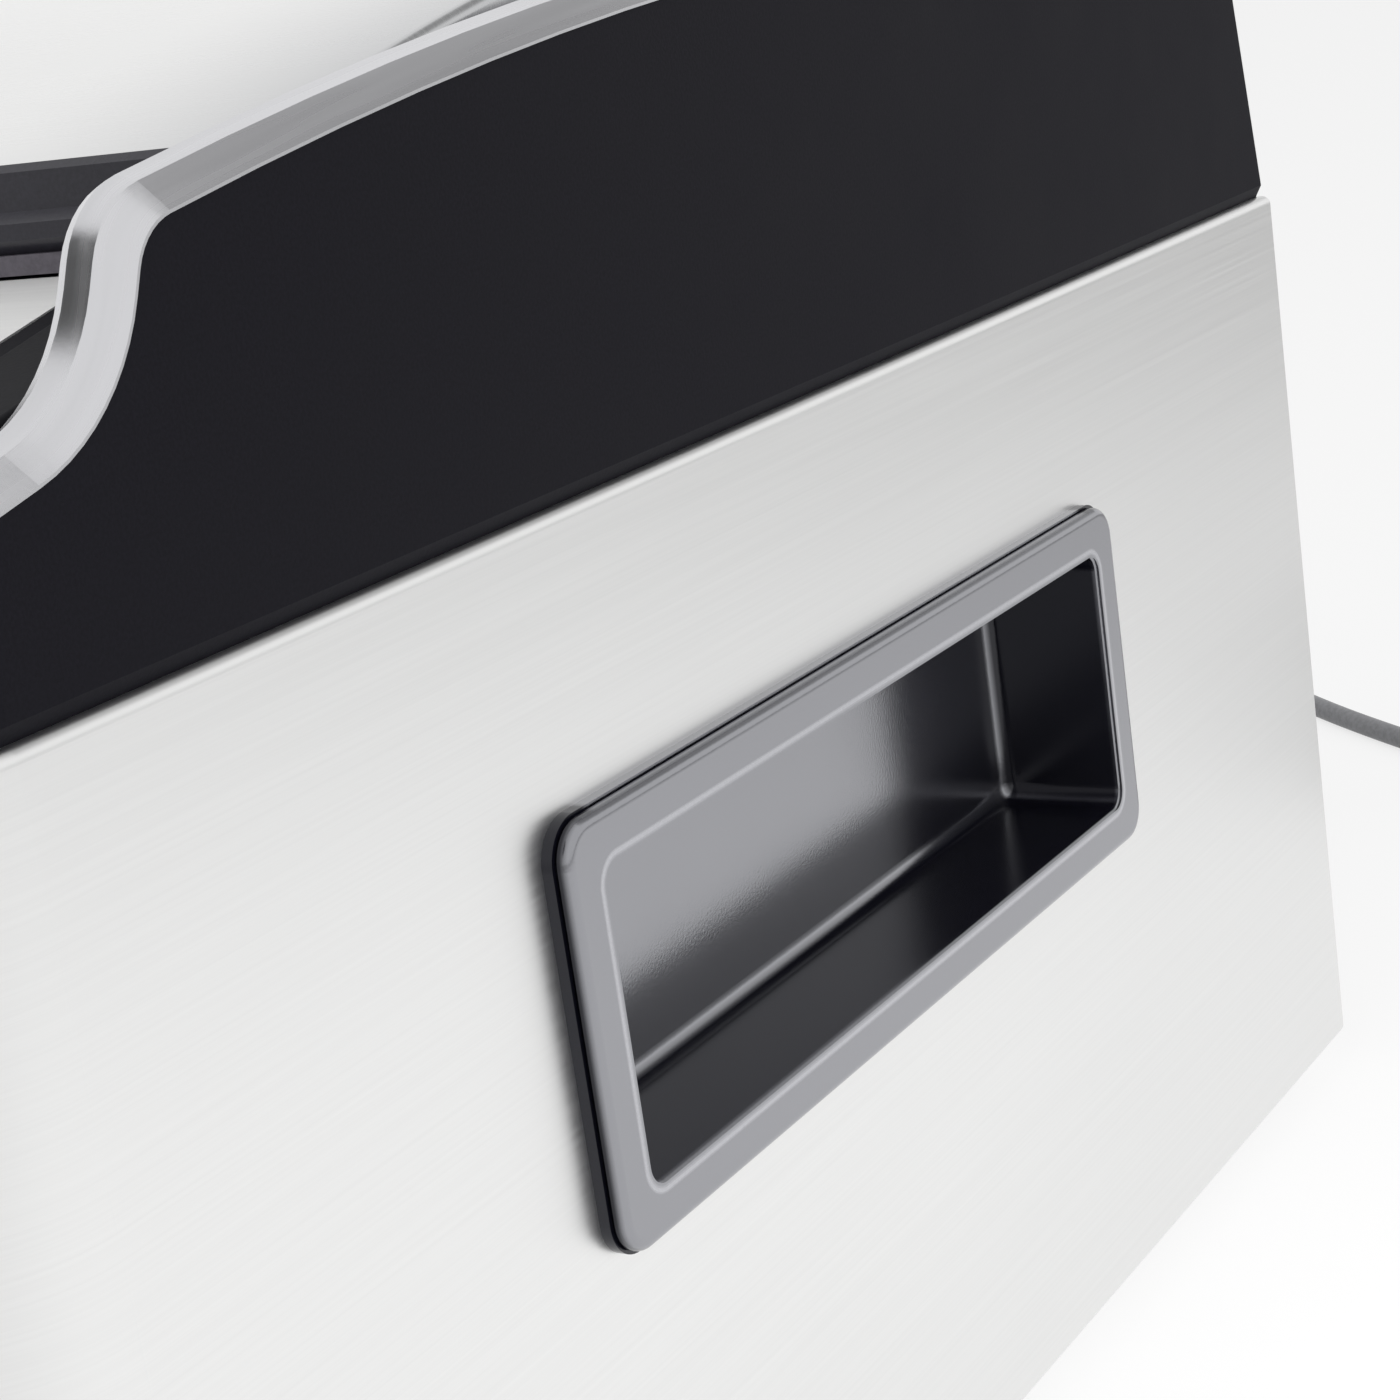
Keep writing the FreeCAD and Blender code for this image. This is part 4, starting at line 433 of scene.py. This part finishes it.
# ---- operators: one for each group of pieces --------------------------------------------------------
class SEALER_OT_camera(bpy.types.Operator):
    """Places the camera beside the right-hand end, looking up the side to the rear"""

    bl_idname = "sealer.camera"
    bl_label = "Camera"

    def execute(self, context):
        data = bpy.data.cameras.new("view")
        data.lens = CAMERA_LENS
        data.sensor_width = 36.0
        data.clip_start = 0.01
        data.clip_end = 20.0
        camera = bpy.data.objects.new("view", data)
        context.scene.collection.objects.link(camera)
        right = Vector(CAMERA_RIGHT).normalized()
        back = Vector(CAMERA_BACK)
        back = (back - right * back.dot(right)).normalized()
        up = back.cross(right)
        turn = Matrix((right, up, back)).transposed()
        camera.matrix_world = Matrix.Translation(CAMERA_PLACE) @ turn.to_4x4()
        context.scene.camera = camera
        return {"FINISHED"}


class SEALER_OT_cord(bpy.types.Operator):
    """Lays the power cord from its strain relief to the coil and the plug"""

    bl_idname = "sealer.cord"
    bl_label = "Power cord"

    def execute(self, context):
        looks = context.scene.sealer_cord
        lead = self.tube(self.line(looks.diameter), looks.diameter)
        context.scene.collection.objects.link(lead)
        sheath = moulded("cord_sheath", looks.colour, 0.42, 900.0, 0.00003, 0.4)
        lead.data.materials.append(sheath)
        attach(lead, "base")
        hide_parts("power_cord", "cord_coil")
        dress(sheath, "cord_gland")
        dress(moulded("plug_moulding", (0.05, 0.05, 0.053), 0.4, 1500.0, 0.00004, 0.45), "plug")
        return {"FINISHED"}

    def line(self, pitch):
        """The points that the cord follows: the free route, the coil, and the way out to the plug."""
        mean = (COIL_HIGH.x - COIL_LOW.x) / 2 - COIL_ROWS * pitch / 2 - COIL_SLACK
        outer = mean + (COIL_ROWS - 1) * pitch / 2
        low_z = CORD_ROUTE[-1][2]
        centre = Vector(((COIL_LOW.x + COIL_HIGH.x) / 2, (COIL_LOW.y + COIL_HIGH.y) / 2, low_z))
        away = Vector((math.cos(PLUG_HEADING), math.sin(PLUG_HEADING), 0.0))
        leave = centre + Vector((away.y, -away.x, 0.0)) * outer + Vector((0.0, 0.0, pitch))
        points = [Vector(place) for place in CORD_ROUTE]
        points += self.coil(centre, outer, pitch)
        points += [leave + away * reach for reach in PLUG_LEAD]
        return points

    def coil(self, centre, outer, pitch):
        """Turns that step inward row by row on the table, then outward again one layer up."""
        ahead = (Vector(CORD_ROUTE[-1]) - Vector(CORD_ROUTE[-2])).normalized()
        first = math.atan2(-ahead.x, ahead.y)
        last = PLUG_HEADING - math.pi / 2
        turns = COIL_EXIT_TURNS + ((last - first) % (2 * math.pi)) / (2 * math.pi)
        outward = 1.0 / math.cos(math.pi / POINTS_PER_TURN)
        inmost = COIL_ROWS - 1.0
        count = int(turns * POINTS_PER_TURN)
        points = []
        for step in range(count + 1):
            done = turns * step / count
            layer, row = divmod(done, COIL_ROWS)
            whole, part = divmod(row, 1.0)
            shift = min(1.0, max(0.0, (part - 1.0 + STEP_WINDOW) / STEP_WINDOW))
            moved = min(whole + shift, inmost)
            if layer == 0:
                radius = outer - moved * pitch
                height = shift * pitch if whole == inmost else 0.0
            else:
                radius = outer - (inmost - moved) * pitch
                height = pitch
            angle = first + 2 * math.pi * done
            reach = radius * outward
            points.append(centre + Vector((math.cos(angle) * reach, math.sin(angle) * reach, height)))
        return points

    def tube(self, points, diameter):
        """A round cord that follows the points as a smooth curve."""
        curve = bpy.data.curves.new("power_cord_line", "CURVE")
        curve.dimensions = "3D"
        curve.bevel_depth = diameter / 2
        curve.bevel_resolution = 5
        curve.resolution_u = 5
        curve.use_fill_caps = True
        spline = curve.splines.new("NURBS")
        spline.points.add(len(points) - 1)
        for point, place in zip(spline.points, points):
            point.co = (*place, 1.0)
        spline.order_u = 3
        spline.use_endpoint_u = True
        return bpy.data.objects.new("power_lead", curve)


class SEALER_OT_steel(bpy.types.Operator):
    """Brushes the wrap, the lid's skin and the deck's inlay"""

    bl_idname = "sealer.steel"
    bl_label = "Brushed steel"

    def execute(self, context):
        looks = context.scene.sealer_steel
        upright = (40.0, 14.0, looks.hairline)
        across = (14.0, looks.hairline, 60.0)
        dress(brushed("steel_wrap", looks.colour, upright, looks.roughness), "steel_shell")
        # The lid's skin is a darker copy of the steel colour, darkened further toward its ends: both are
        # painted shade.
        ends = (LID_HIGH.x - END_SHADE_REACH, LID_HIGH.x + END_SHADE_PAST)
        skin = brushed("steel_lid", shade(looks.colour, 0.94), across, looks.roughness - 0.1, 1.0, ends)
        dress(skin, "lid_skin")
        sheet = settled(self.crowned_sheet(), "lid_sheet", skin, "lid")
        sheet.data.set_sharp_from_angle(angle=SHARP_ANGLE)
        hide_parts("lid_skin")
        dress(brushed("steel_deck", looks.colour, across, looks.roughness + 0.2, 0.55), "deck_panel")
        dress(satin_metal("plated_screws", (0.62, 0.62, 0.63), 0.3), "rear_screws", "foot_screws",
              "cheek_screws", "frame_screws", "hinge_pins", "latch_pins")
        return {"FINISHED"}

    def crowned_sheet(self):
        """The lid's sheet: a rounded channel spun along the crown, then trimmed to its skirts."""
        rise = LID_HIGH.z - LID_EDGE_Z
        reach = (LID_HIGH.y - LID_LOW.y) / 2
        radius = (reach ** 2 + rise ** 2) / (2 * rise)
        axle = Vector((0.0, (LID_LOW.y + LID_HIGH.y) / 2, LID_HIGH.z - radius))
        sweep = math.asin(reach / radius) + SPARE_SWEEP
        corner = [(LID_HIGH.x, LID_LOW.z - SPARE_DEPTH)]
        for step in range(RIM_STEPS + 1):
            angle = math.pi / 2 * step / RIM_STEPS
            across = LID_HIGH.x - SHEET_RIM + SHEET_RIM * math.cos(angle)
            corner.append((across, LID_HIGH.z - SHEET_RIM + SHEET_RIM * math.sin(angle)))
        section = corner + [(-x, z) for x, z in reversed(corner)]
        shape = bmesh.new()
        chain = [shape.verts.new((x, axle.y, z)) for x, z in section]
        edges = [shape.edges.new(pair) for pair in zip(chain, chain[1:])]
        bmesh.ops.rotate(shape, cent=axle, matrix=Matrix.Rotation(sweep, 3, "X"), verts=chain)
        bmesh.ops.spin(shape, geom=chain + edges, cent=axle, axis=(1.0, 0.0, 0.0), angle=-2 * sweep,
                       steps=CROWN_STEPS)
        front = (LID_LOW, (0.0, -1.0, 0.0))
        rear = (LID_HIGH, (0.0, 1.0, 0.0))
        below = (LID_LOW, (0.0, 0.0, -1.0))
        for place, outward in (front, rear, below):
            bmesh.ops.bisect_plane(shape, geom=shape.verts[:] + shape.edges[:] + shape.faces[:], dist=MERGE,
                                   plane_co=place, plane_no=outward, clear_outer=True)
        bmesh.ops.remove_doubles(shape, verts=shape.verts[:], dist=MERGE)
        bmesh.ops.recalc_face_normals(shape, faces=shape.faces[:])
        bmesh.ops.solidify(shape, geom=shape.faces[:], thickness=SHEET)
        skirt = Matrix.Translation((0.0, LID_HIGH.y - SHEET / 2, (LID_EDGE_Z + LID_LOW.z) / 2))
        size = Matrix.Diagonal((2 * LID_HIGH.x - 2 * SHEET, SHEET, LID_EDGE_Z - LID_LOW.z, 1.0))
        bmesh.ops.create_cube(shape, size=1.0, matrix=skirt @ size)
        mesh = bpy.data.meshes.new("lid_sheet")
        shape.to_mesh(mesh)
        shape.free()
        return mesh


class SEALER_OT_cheeks(bpy.types.Operator):
    """Finishes the black cheeks, their bright trim and the top frame"""

    bl_idname = "sealer.cheeks"
    bl_label = "Cheeks and top frame"

    def execute(self, context):
        looks = context.scene.sealer_plastic
        cheek = moulded("cheek_moulding", looks.cheek, 0.55, looks.grain, 0.00003, 0.07)
        dress(cheek, "side_cheek_right", "side_cheek_left")
        # The top frame takes a darker copy of the cheek colour, as painted shade.
        painted_shade_cheek = shade(looks.cheek, 0.6)
        dress(moulded("frame_moulding", painted_shade_cheek, 0.55, looks.grain, 0.00003, 0.05), "top_frame")
        trim = satin_metal("trim_silver", (0.64, 0.64, 0.66), 0.26, (400.0, 12.0, 12.0))
        dress(trim, "cheek_trim_right", "cheek_trim_left")
        return {"FINISHED"}


class SEALER_OT_grips(bpy.types.Operator):
    """Finishes the recessed side grips"""

    bl_idname = "sealer.grips"
    bl_label = "Side grips"

    def execute(self, context):
        looks = context.scene.sealer_plastic
        made = Finish("grip_moulding")
        made.wire(IOR=2.3, Coat_Roughness=0.2, Specular_Tint=(0.93, 0.94, 1.0, 1.0))
        fine = made.noise(made.place((looks.grain, looks.grain, looks.grain)), 2.0, 0.6)
        cloud = made.noise(made.place((26.0, 26.0, 26.0)), 4.0, 0.6)
        dull = self.dull_faces(made)
        plain = made.ramp(fine, shade(looks.grip, 0.85), shade(looks.grip, 1.15))
        # A pale painted highlight, laid along the edge of the cup's mouth.
        edge_highlight = made.ramp(fine, (0.30, 0.30, 0.32), (0.36, 0.36, 0.38))
        made.wire(Base_Color=made.mix(self.painted_edge_highlight(made), plain, edge_highlight))
        made.wire(Roughness=made.span(cloud, 0.15, 0.21))
        made.wire(Specular_IOR_Level=made.span(dull, 1.0, 0.12, 0.0, 1.0))
        made.wire(Coat_Weight=made.span(dull, 0.8, 0.05, 0.0, 1.0))
        made.wire(Normal=made.bump(fine, 0.5, 0.00003))
        dress(made.material, "side_grip_right", "side_grip_left")
        return {"FINISHED"}

    def painted_edge_highlight(self, made):
        """One on the thin edge around the cup's mouth, where a pale highlight is painted; nought elsewhere.
        """
        half_height = (CUP_TOP_Z - CUP_FLOOR_Z) / 2
        middle = (0.0, -CUP_CENTRE_Y, -(CUP_TOP_Z + CUP_FLOOR_Z) / 2)
        straight = (0.0, CUP_HALF_LENGTH - CUP_CORNER, half_height - CUP_CORNER)
        around = made.vector_maths("ABSOLUTE", made.place((0.0, 1.0, 1.0), middle))
        past = made.vector_maths("SUBTRACT", around, straight)
        beyond = made.vector_maths("MAXIMUM", past, (0.0, 0.0, 0.0))
        reached = made.vector_maths("LENGTH", beyond, result="Value")
        rise = made.span(reached, 0.0, 1.0, *(CUP_CORNER + gap for gap in EDGE_HIGHLIGHT_RISE))
        fall = made.span(reached, 1.0, 0.0, *(CUP_CORNER + gap for gap in EDGE_HIGHLIGHT_FALL))
        return made.maths("MULTIPLY", rise, fall)

    def dull_faces(self, made):
        """One on the cup's floor and ends, which keep the mould's dull spark finish; nought elsewhere."""
        x, y, z = made.axes()
        along = made.maths("ABSOLUTE", made.maths("SUBTRACT", y, CUP_CENTRE_Y))
        across = made.maths("ABSOLUTE", x)
        start, full = DULL_FROM_FACE
        whole, gone = DULL_BELOW_MOUTH
        inside = made.span(across, 1.0, 0.0, CUP_MOUTH_X - whole, CUP_MOUTH_X - gone)
        ends = made.span(along, 0.0, 1.0, CUP_HALF_LENGTH - start, CUP_HALF_LENGTH - full)
        low = made.span(z, 1.0, 0.0, CUP_FLOOR_Z + full, CUP_FLOOR_Z + start)
        return made.maths("MULTIPLY", inside, made.maths("MAXIMUM", ends, low))


class SEALER_OT_controls(bpy.types.Operator):
    """Finishes the fascia, display, buttons and keys, and sets a lamp above each button"""

    bl_idname = "sealer.controls"
    bl_label = "Controls"

    def execute(self, context):
        fascia = moulded("fascia_gloss", (0.016, 0.016, 0.018), 0.18, 3000.0, 0.00001, 0.5, 0.5)
        dress(fascia, "control_panel")
        smoke = moulded("display_smoke", (0.012, 0.018, 0.020), 0.12, 3000.0, 0.00001, 0.5, 0.8)
        dress(smoke, "display_window")
        dress(moulded("button_satin", (0.36, 0.36, 0.37), 0.35, 2400.0, 0.00003, 0.5), *BUTTONS)
        dress(moulded("key_moulding", (0.011, 0.011, 0.013), 0.55, 2200.0, 0.00004, 0.05),
              "release_key_right", "release_key_left")
        dress(board_lacquer("board_green", (0.02, 0.11, 0.05)), "control_board", "main_board")
        lens = moulded("lamp_lens", (0.30, 0.46, 0.34), 0.15, 1500.0, 0.00001, 0.5, 0.6)
        for index, button in enumerate(BUTTONS):
            low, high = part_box(button)
            mesh = self.dome((low.x + high.x) / 2, "status_lamp_%d" % (index + 1))
            settled(mesh, mesh.name, lens, "base")
        return {"FINISHED"}

    def dome(self, x, name):
        """A small flattened lens that stands in the fascia behind a button."""
        shape = bmesh.new()
        bmesh.ops.create_uvsphere(shape, u_segments=20, v_segments=10, radius=LAMP_RADIUS)
        seat = on_deck(x, -LAMP_SETBACK, LAMP_PROUD)
        turn = Matrix.Translation(seat) @ Matrix.Rotation(DECK_SLOPE, 4, "X")
        bmesh.ops.scale(shape, vec=(1.0, 1.0, LAMP_FLATNESS), verts=shape.verts)
        bmesh.ops.transform(shape, matrix=turn, verts=shape.verts)
        mesh = bpy.data.meshes.new(name)
        shape.to_mesh(mesh)
        shape.free()
        return mesh


class SEALER_OT_lid(bpy.types.Operator):
    """Finishes the lid's lining, front rail, lip, gasket, pad and catches"""

    bl_idname = "sealer.lid"
    bl_label = "Lid"

    def execute(self, context):
        dress(moulded("lining_moulding", (0.02, 0.02, 0.023), 0.5, 2200.0, 0.00004, 0.4), "lid_frame")
        dress(moulded("rail_satin", (0.030, 0.029, 0.038), 0.3, 2600.0, 0.00002, 0.35), "lid_front_rail")
        dress(moulded("lip_soft", (0.11, 0.10, 0.12), 0.55, 1500.0, 0.00004, 0.4), "lid_edge_seal")
        dress(moulded("gasket_foam", (0.035, 0.035, 0.038), 0.8, 2800.0, 0.0001, 0.2, 0.0, 0.25),
              "upper_gasket", "lower_gasket")
        dress(moulded("pad_silicone", (0.10, 0.10, 0.105), 0.5, 1800.0, 0.00003, 0.4), "counter_pad")
        dress(moulded("latch_moulding", (0.05, 0.05, 0.055), 0.4, 1800.0, 0.00003, 0.45),
              "lid_catches", "latch_lever_right", "latch_lever_left")
        return {"FINISHED"}


class SEALER_OT_channel(bpy.types.Operator):
    """Finishes the drip tray, seal bar, roll tub and cutter"""

    bl_idname = "sealer.channel"
    bl_label = "Channel, roll bay and cutter"

    def execute(self, context):
        dress(moulded("tray_moulding", (0.04, 0.04, 0.044), 0.3, 1800.0, 0.00003, 0.5), "vacuum_trough")
        dress(moulded("bar_moulding", (0.07, 0.07, 0.07), 0.6, 1500.0, 0.00005, 0.35), "seal_bar")
        dress(satin_metal("ribbon_metal", (0.55, 0.52, 0.48), 0.35, (8.0, 1500.0, 400.0)), "heating_strip")
        dress(woven("tape_cloth", (0.30, 0.20, 0.11), 900.0), "seal_tape")
        dress(moulded("tub_moulding", (0.032, 0.032, 0.036), 0.45, 1800.0, 0.00005, 0.45), "roll_box")
        dress(moulded("cutter_moulding", (0.06, 0.06, 0.065), 0.4, 1800.0, 0.00004, 0.45), "cutter_rail")
        dress(moulded("cutter_knob_satin", (0.34, 0.34, 0.35), 0.35, 2000.0, 0.00004, 0.5), "cutter_slider")
        return {"FINISHED"}


class SEALER_OT_base(bpy.types.Operator):
    """Finishes the bottom pan, feet, rear panel and switch"""

    bl_idname = "sealer.base"
    bl_label = "Base and rear"

    def execute(self, context):
        dress(moulded("pan_moulding", (0.028, 0.028, 0.030), 0.55, 1500.0, 0.00006, 0.4), "base_pan")
        dress(moulded("foot_rubber_matt", (0.022, 0.022, 0.023), 0.75, 1300.0, 0.00008, 0.3),
              "feet", "pump_mounts")
        dress(moulded("rear_powder", (0.040, 0.040, 0.043), 0.5, 1900.0, 0.00007, 0.45, 0.0, 0.2),
              "rear_panel")
        dress(moulded("switch_gloss", (0.015, 0.015, 0.016), 0.25, 1500.0, 0.00001, 0.5, 0.3),
              "switch_housing", "switch_rocker")
        return {"FINISHED"}


class SEALER_OT_works(bpy.types.Operator):
    """Finishes the pumps, transformer, valve and hoses inside"""

    bl_idname = "sealer.works"
    bl_label = "Works inside"

    def execute(self, context):
        dress(satin_metal("pump_casting", (0.42, 0.42, 0.43), 0.45),
              "pump_right", "pump_left", "release_valve")
        dress(laminated("core_laminations", (0.14, 0.14, 0.15), 160.0), "transformer")
        dress(moulded("hose_silicone", (0.45, 0.45, 0.42), 0.4, 900.0, 0.00004, 0.5), "air_hoses")
        return {"FINISHED"}


class SEALER_OT_studio(bpy.types.Operator):
    """Builds the white floor, the even sky and the soft lamps"""

    bl_idname = "sealer.studio"
    bl_label = "Studio"

    def execute(self, context):
        looks = context.scene.sealer_studio
        context.scene.view_settings.view_transform = "Standard"
        self.floor()
        self.sky(context, looks.sky)
        self.lamp(context, "key_lamp", (-0.25, -0.55, 1.5), (0.0, 0.0, 0.1), 1.4, looks.key)
        self.lamp(context, "fill_lamp", (1.5, 0.1, 0.9), (0.1, 0.0, 0.08), 1.2, looks.fill)
        return {"FINISHED"}

    def floor(self):
        """White where it is seen, a bright pool on the right where it is mirrored, and plain in shadow."""
        shape = bmesh.new()
        bmesh.ops.create_circle(shape, cap_ends=True, cap_tris=False, segments=96, radius=FLOOR_RADIUS)
        mesh = bpy.data.meshes.new("floor")
        shape.to_mesh(mesh)
        shape.free()
        floor = bpy.data.objects.new("floor", mesh)
        bpy.context.scene.collection.objects.link(floor)
        made = Finish("floor_white")
        made.wire(Base_Color=(*shade(WHITE, 0.86), 1.0), Roughness=0.9, Specular_IOR_Level=0.1)
        path = made.node("ShaderNodeLightPath").outputs
        here = made.node("ShaderNodeTexCoord").outputs["Object"]
        away = made.vector_maths("DISTANCE", here, POOL_CENTRE, result="Value")
        pool = made.span(away, POOL_BRIGHT, POOL_FAR, POOL_NEAR_RADIUS, POOL_FAR_RADIUS)
        glow = made.node("ShaderNodeEmission")
        glow.inputs["Color"].default_value = (*WHITE, 1.0)
        made.feed(made.maths("MAXIMUM", path["Is Camera Ray"], pool), glow.inputs["Strength"])
        seen = made.maths("MAXIMUM", path["Is Camera Ray"], path["Is Glossy Ray"])
        blend = made.node("ShaderNodeMixShader")
        made.feed(made.maths("MULTIPLY", seen, FLOOR_GLOW), blend.inputs[0])
        made.feed(made.shader.outputs[0], blend.inputs[1])
        made.feed(glow.outputs[0], blend.inputs[2])
        made.feed(blend.outputs[0], made.tree.nodes["Material Output"].inputs["Surface"])
        made.material.cycles.emission_sampling = "NONE"
        mesh.materials.append(made.material)

    def sky(self, context, strength):
        """Even light from all round, white where it is seen and dimmed by the flags where it is mirrored."""
        world = bpy.data.worlds.new("studio_sky")
        world.use_nodes = True
        world.cycles.sampling_method = "NONE"
        context.scene.world = world
        made = Nodes(world.node_tree)
        back = made.tree.nodes["Background"]
        back.inputs["Color"].default_value = (*WHITE, 1.0)
        path = made.node("ShaderNodeLightPath").outputs
        mirrored = path["Is Glossy Ray"]
        passed = made.maths("MAXIMUM", mirrored, path["Is Transmission Ray"])
        level = made.span(made.maths("MAXIMUM", path["Is Camera Ray"], passed), strength, 1.0, 0.0, 1.0)
        heading = made.node("ShaderNodeTexCoord").outputs["Generated"]
        for centre, inner, outer, depth in DARK_FLAGS:
            dimmed = made.maths("MULTIPLY", self.flag(made, heading, centre, inner, outer, depth), mirrored)
            level = made.maths("MULTIPLY", level, made.maths("SUBTRACT", 1.0, dimmed))
        made.feed(level, back.inputs["Strength"])

    def flag(self, made, heading, centre, inner, outer, depth):
        """How much a black flag beside the set hides of the sky, within a cone of headings."""
        azimuth, elevation = (math.radians(value) for value in centre)
        middle = (math.cos(azimuth) * math.cos(elevation), math.sin(azimuth) * math.cos(elevation),
                  math.sin(elevation))
        towards = made.vector_maths("DOT_PRODUCT", heading, middle, result="Value")
        rim, core = (math.cos(math.radians(angle)) for angle in (outer, inner))
        return made.span(towards, 0.0, depth, rim, core, "SMOOTHSTEP")

    def lamp(self, context, name, place, target, size, power):
        data = bpy.data.lights.new(name, "AREA")
        data.shape = "DISK"
        data.size = size
        data.energy = power
        lamp = bpy.data.objects.new(name, data)
        lamp.location = place
        lamp.rotation_euler = (Vector(target) - Vector(place)).to_track_quat("-Z", "Y").to_euler()
        lamp.visible_glossy = False
        context.scene.collection.objects.link(lamp)


STEPS = (
    SEALER_OT_camera, SEALER_OT_cord, SEALER_OT_steel, SEALER_OT_cheeks, SEALER_OT_grips, SEALER_OT_controls,
    SEALER_OT_lid, SEALER_OT_channel, SEALER_OT_base, SEALER_OT_works, SEALER_OT_studio,
)
GROUPS = {
    "sealer_steel": SealerSteel,
    "sealer_plastic": SealerPlastic,
    "sealer_cord": SealerCord,
    "sealer_studio": SealerStudio,
}


class SEALER_PT_panel(bpy.types.Panel):
    """Lists the settings and the steps that dress the sealer"""

    bl_idname = "SEALER_PT_panel"
    bl_label = "Vacuum Sealer"
    bl_space_type = "VIEW_3D"
    bl_region_type = "UI"
    bl_category = "Sealer"

    def draw(self, context):
        for name, group in GROUPS.items():
            box = self.layout.box()
            for setting in group.__annotations__:
                box.prop(getattr(context.scene, name), setting)
        for step in STEPS:
            self.layout.operator(step.bl_idname)


def register():
    for group in GROUPS.values():
        bpy.utils.register_class(group)
    for step in STEPS:
        bpy.utils.register_class(step)
    bpy.utils.register_class(SEALER_PT_panel)
    for name, group in GROUPS.items():
        setattr(bpy.types.Scene, name, bpy.props.PointerProperty(type=group))


def unregister():
    for name in GROUPS:
        delattr(bpy.types.Scene, name)
    bpy.utils.unregister_class(SEALER_PT_panel)
    for step in reversed(STEPS):
        bpy.utils.unregister_class(step)
    for group in GROUPS.values():
        bpy.utils.unregister_class(group)


def main():
    register()
    for step in STEPS:
        group, name = step.bl_idname.split(".")
        getattr(getattr(bpy.ops, group), name)()


if __name__ == "__main__":
    main()
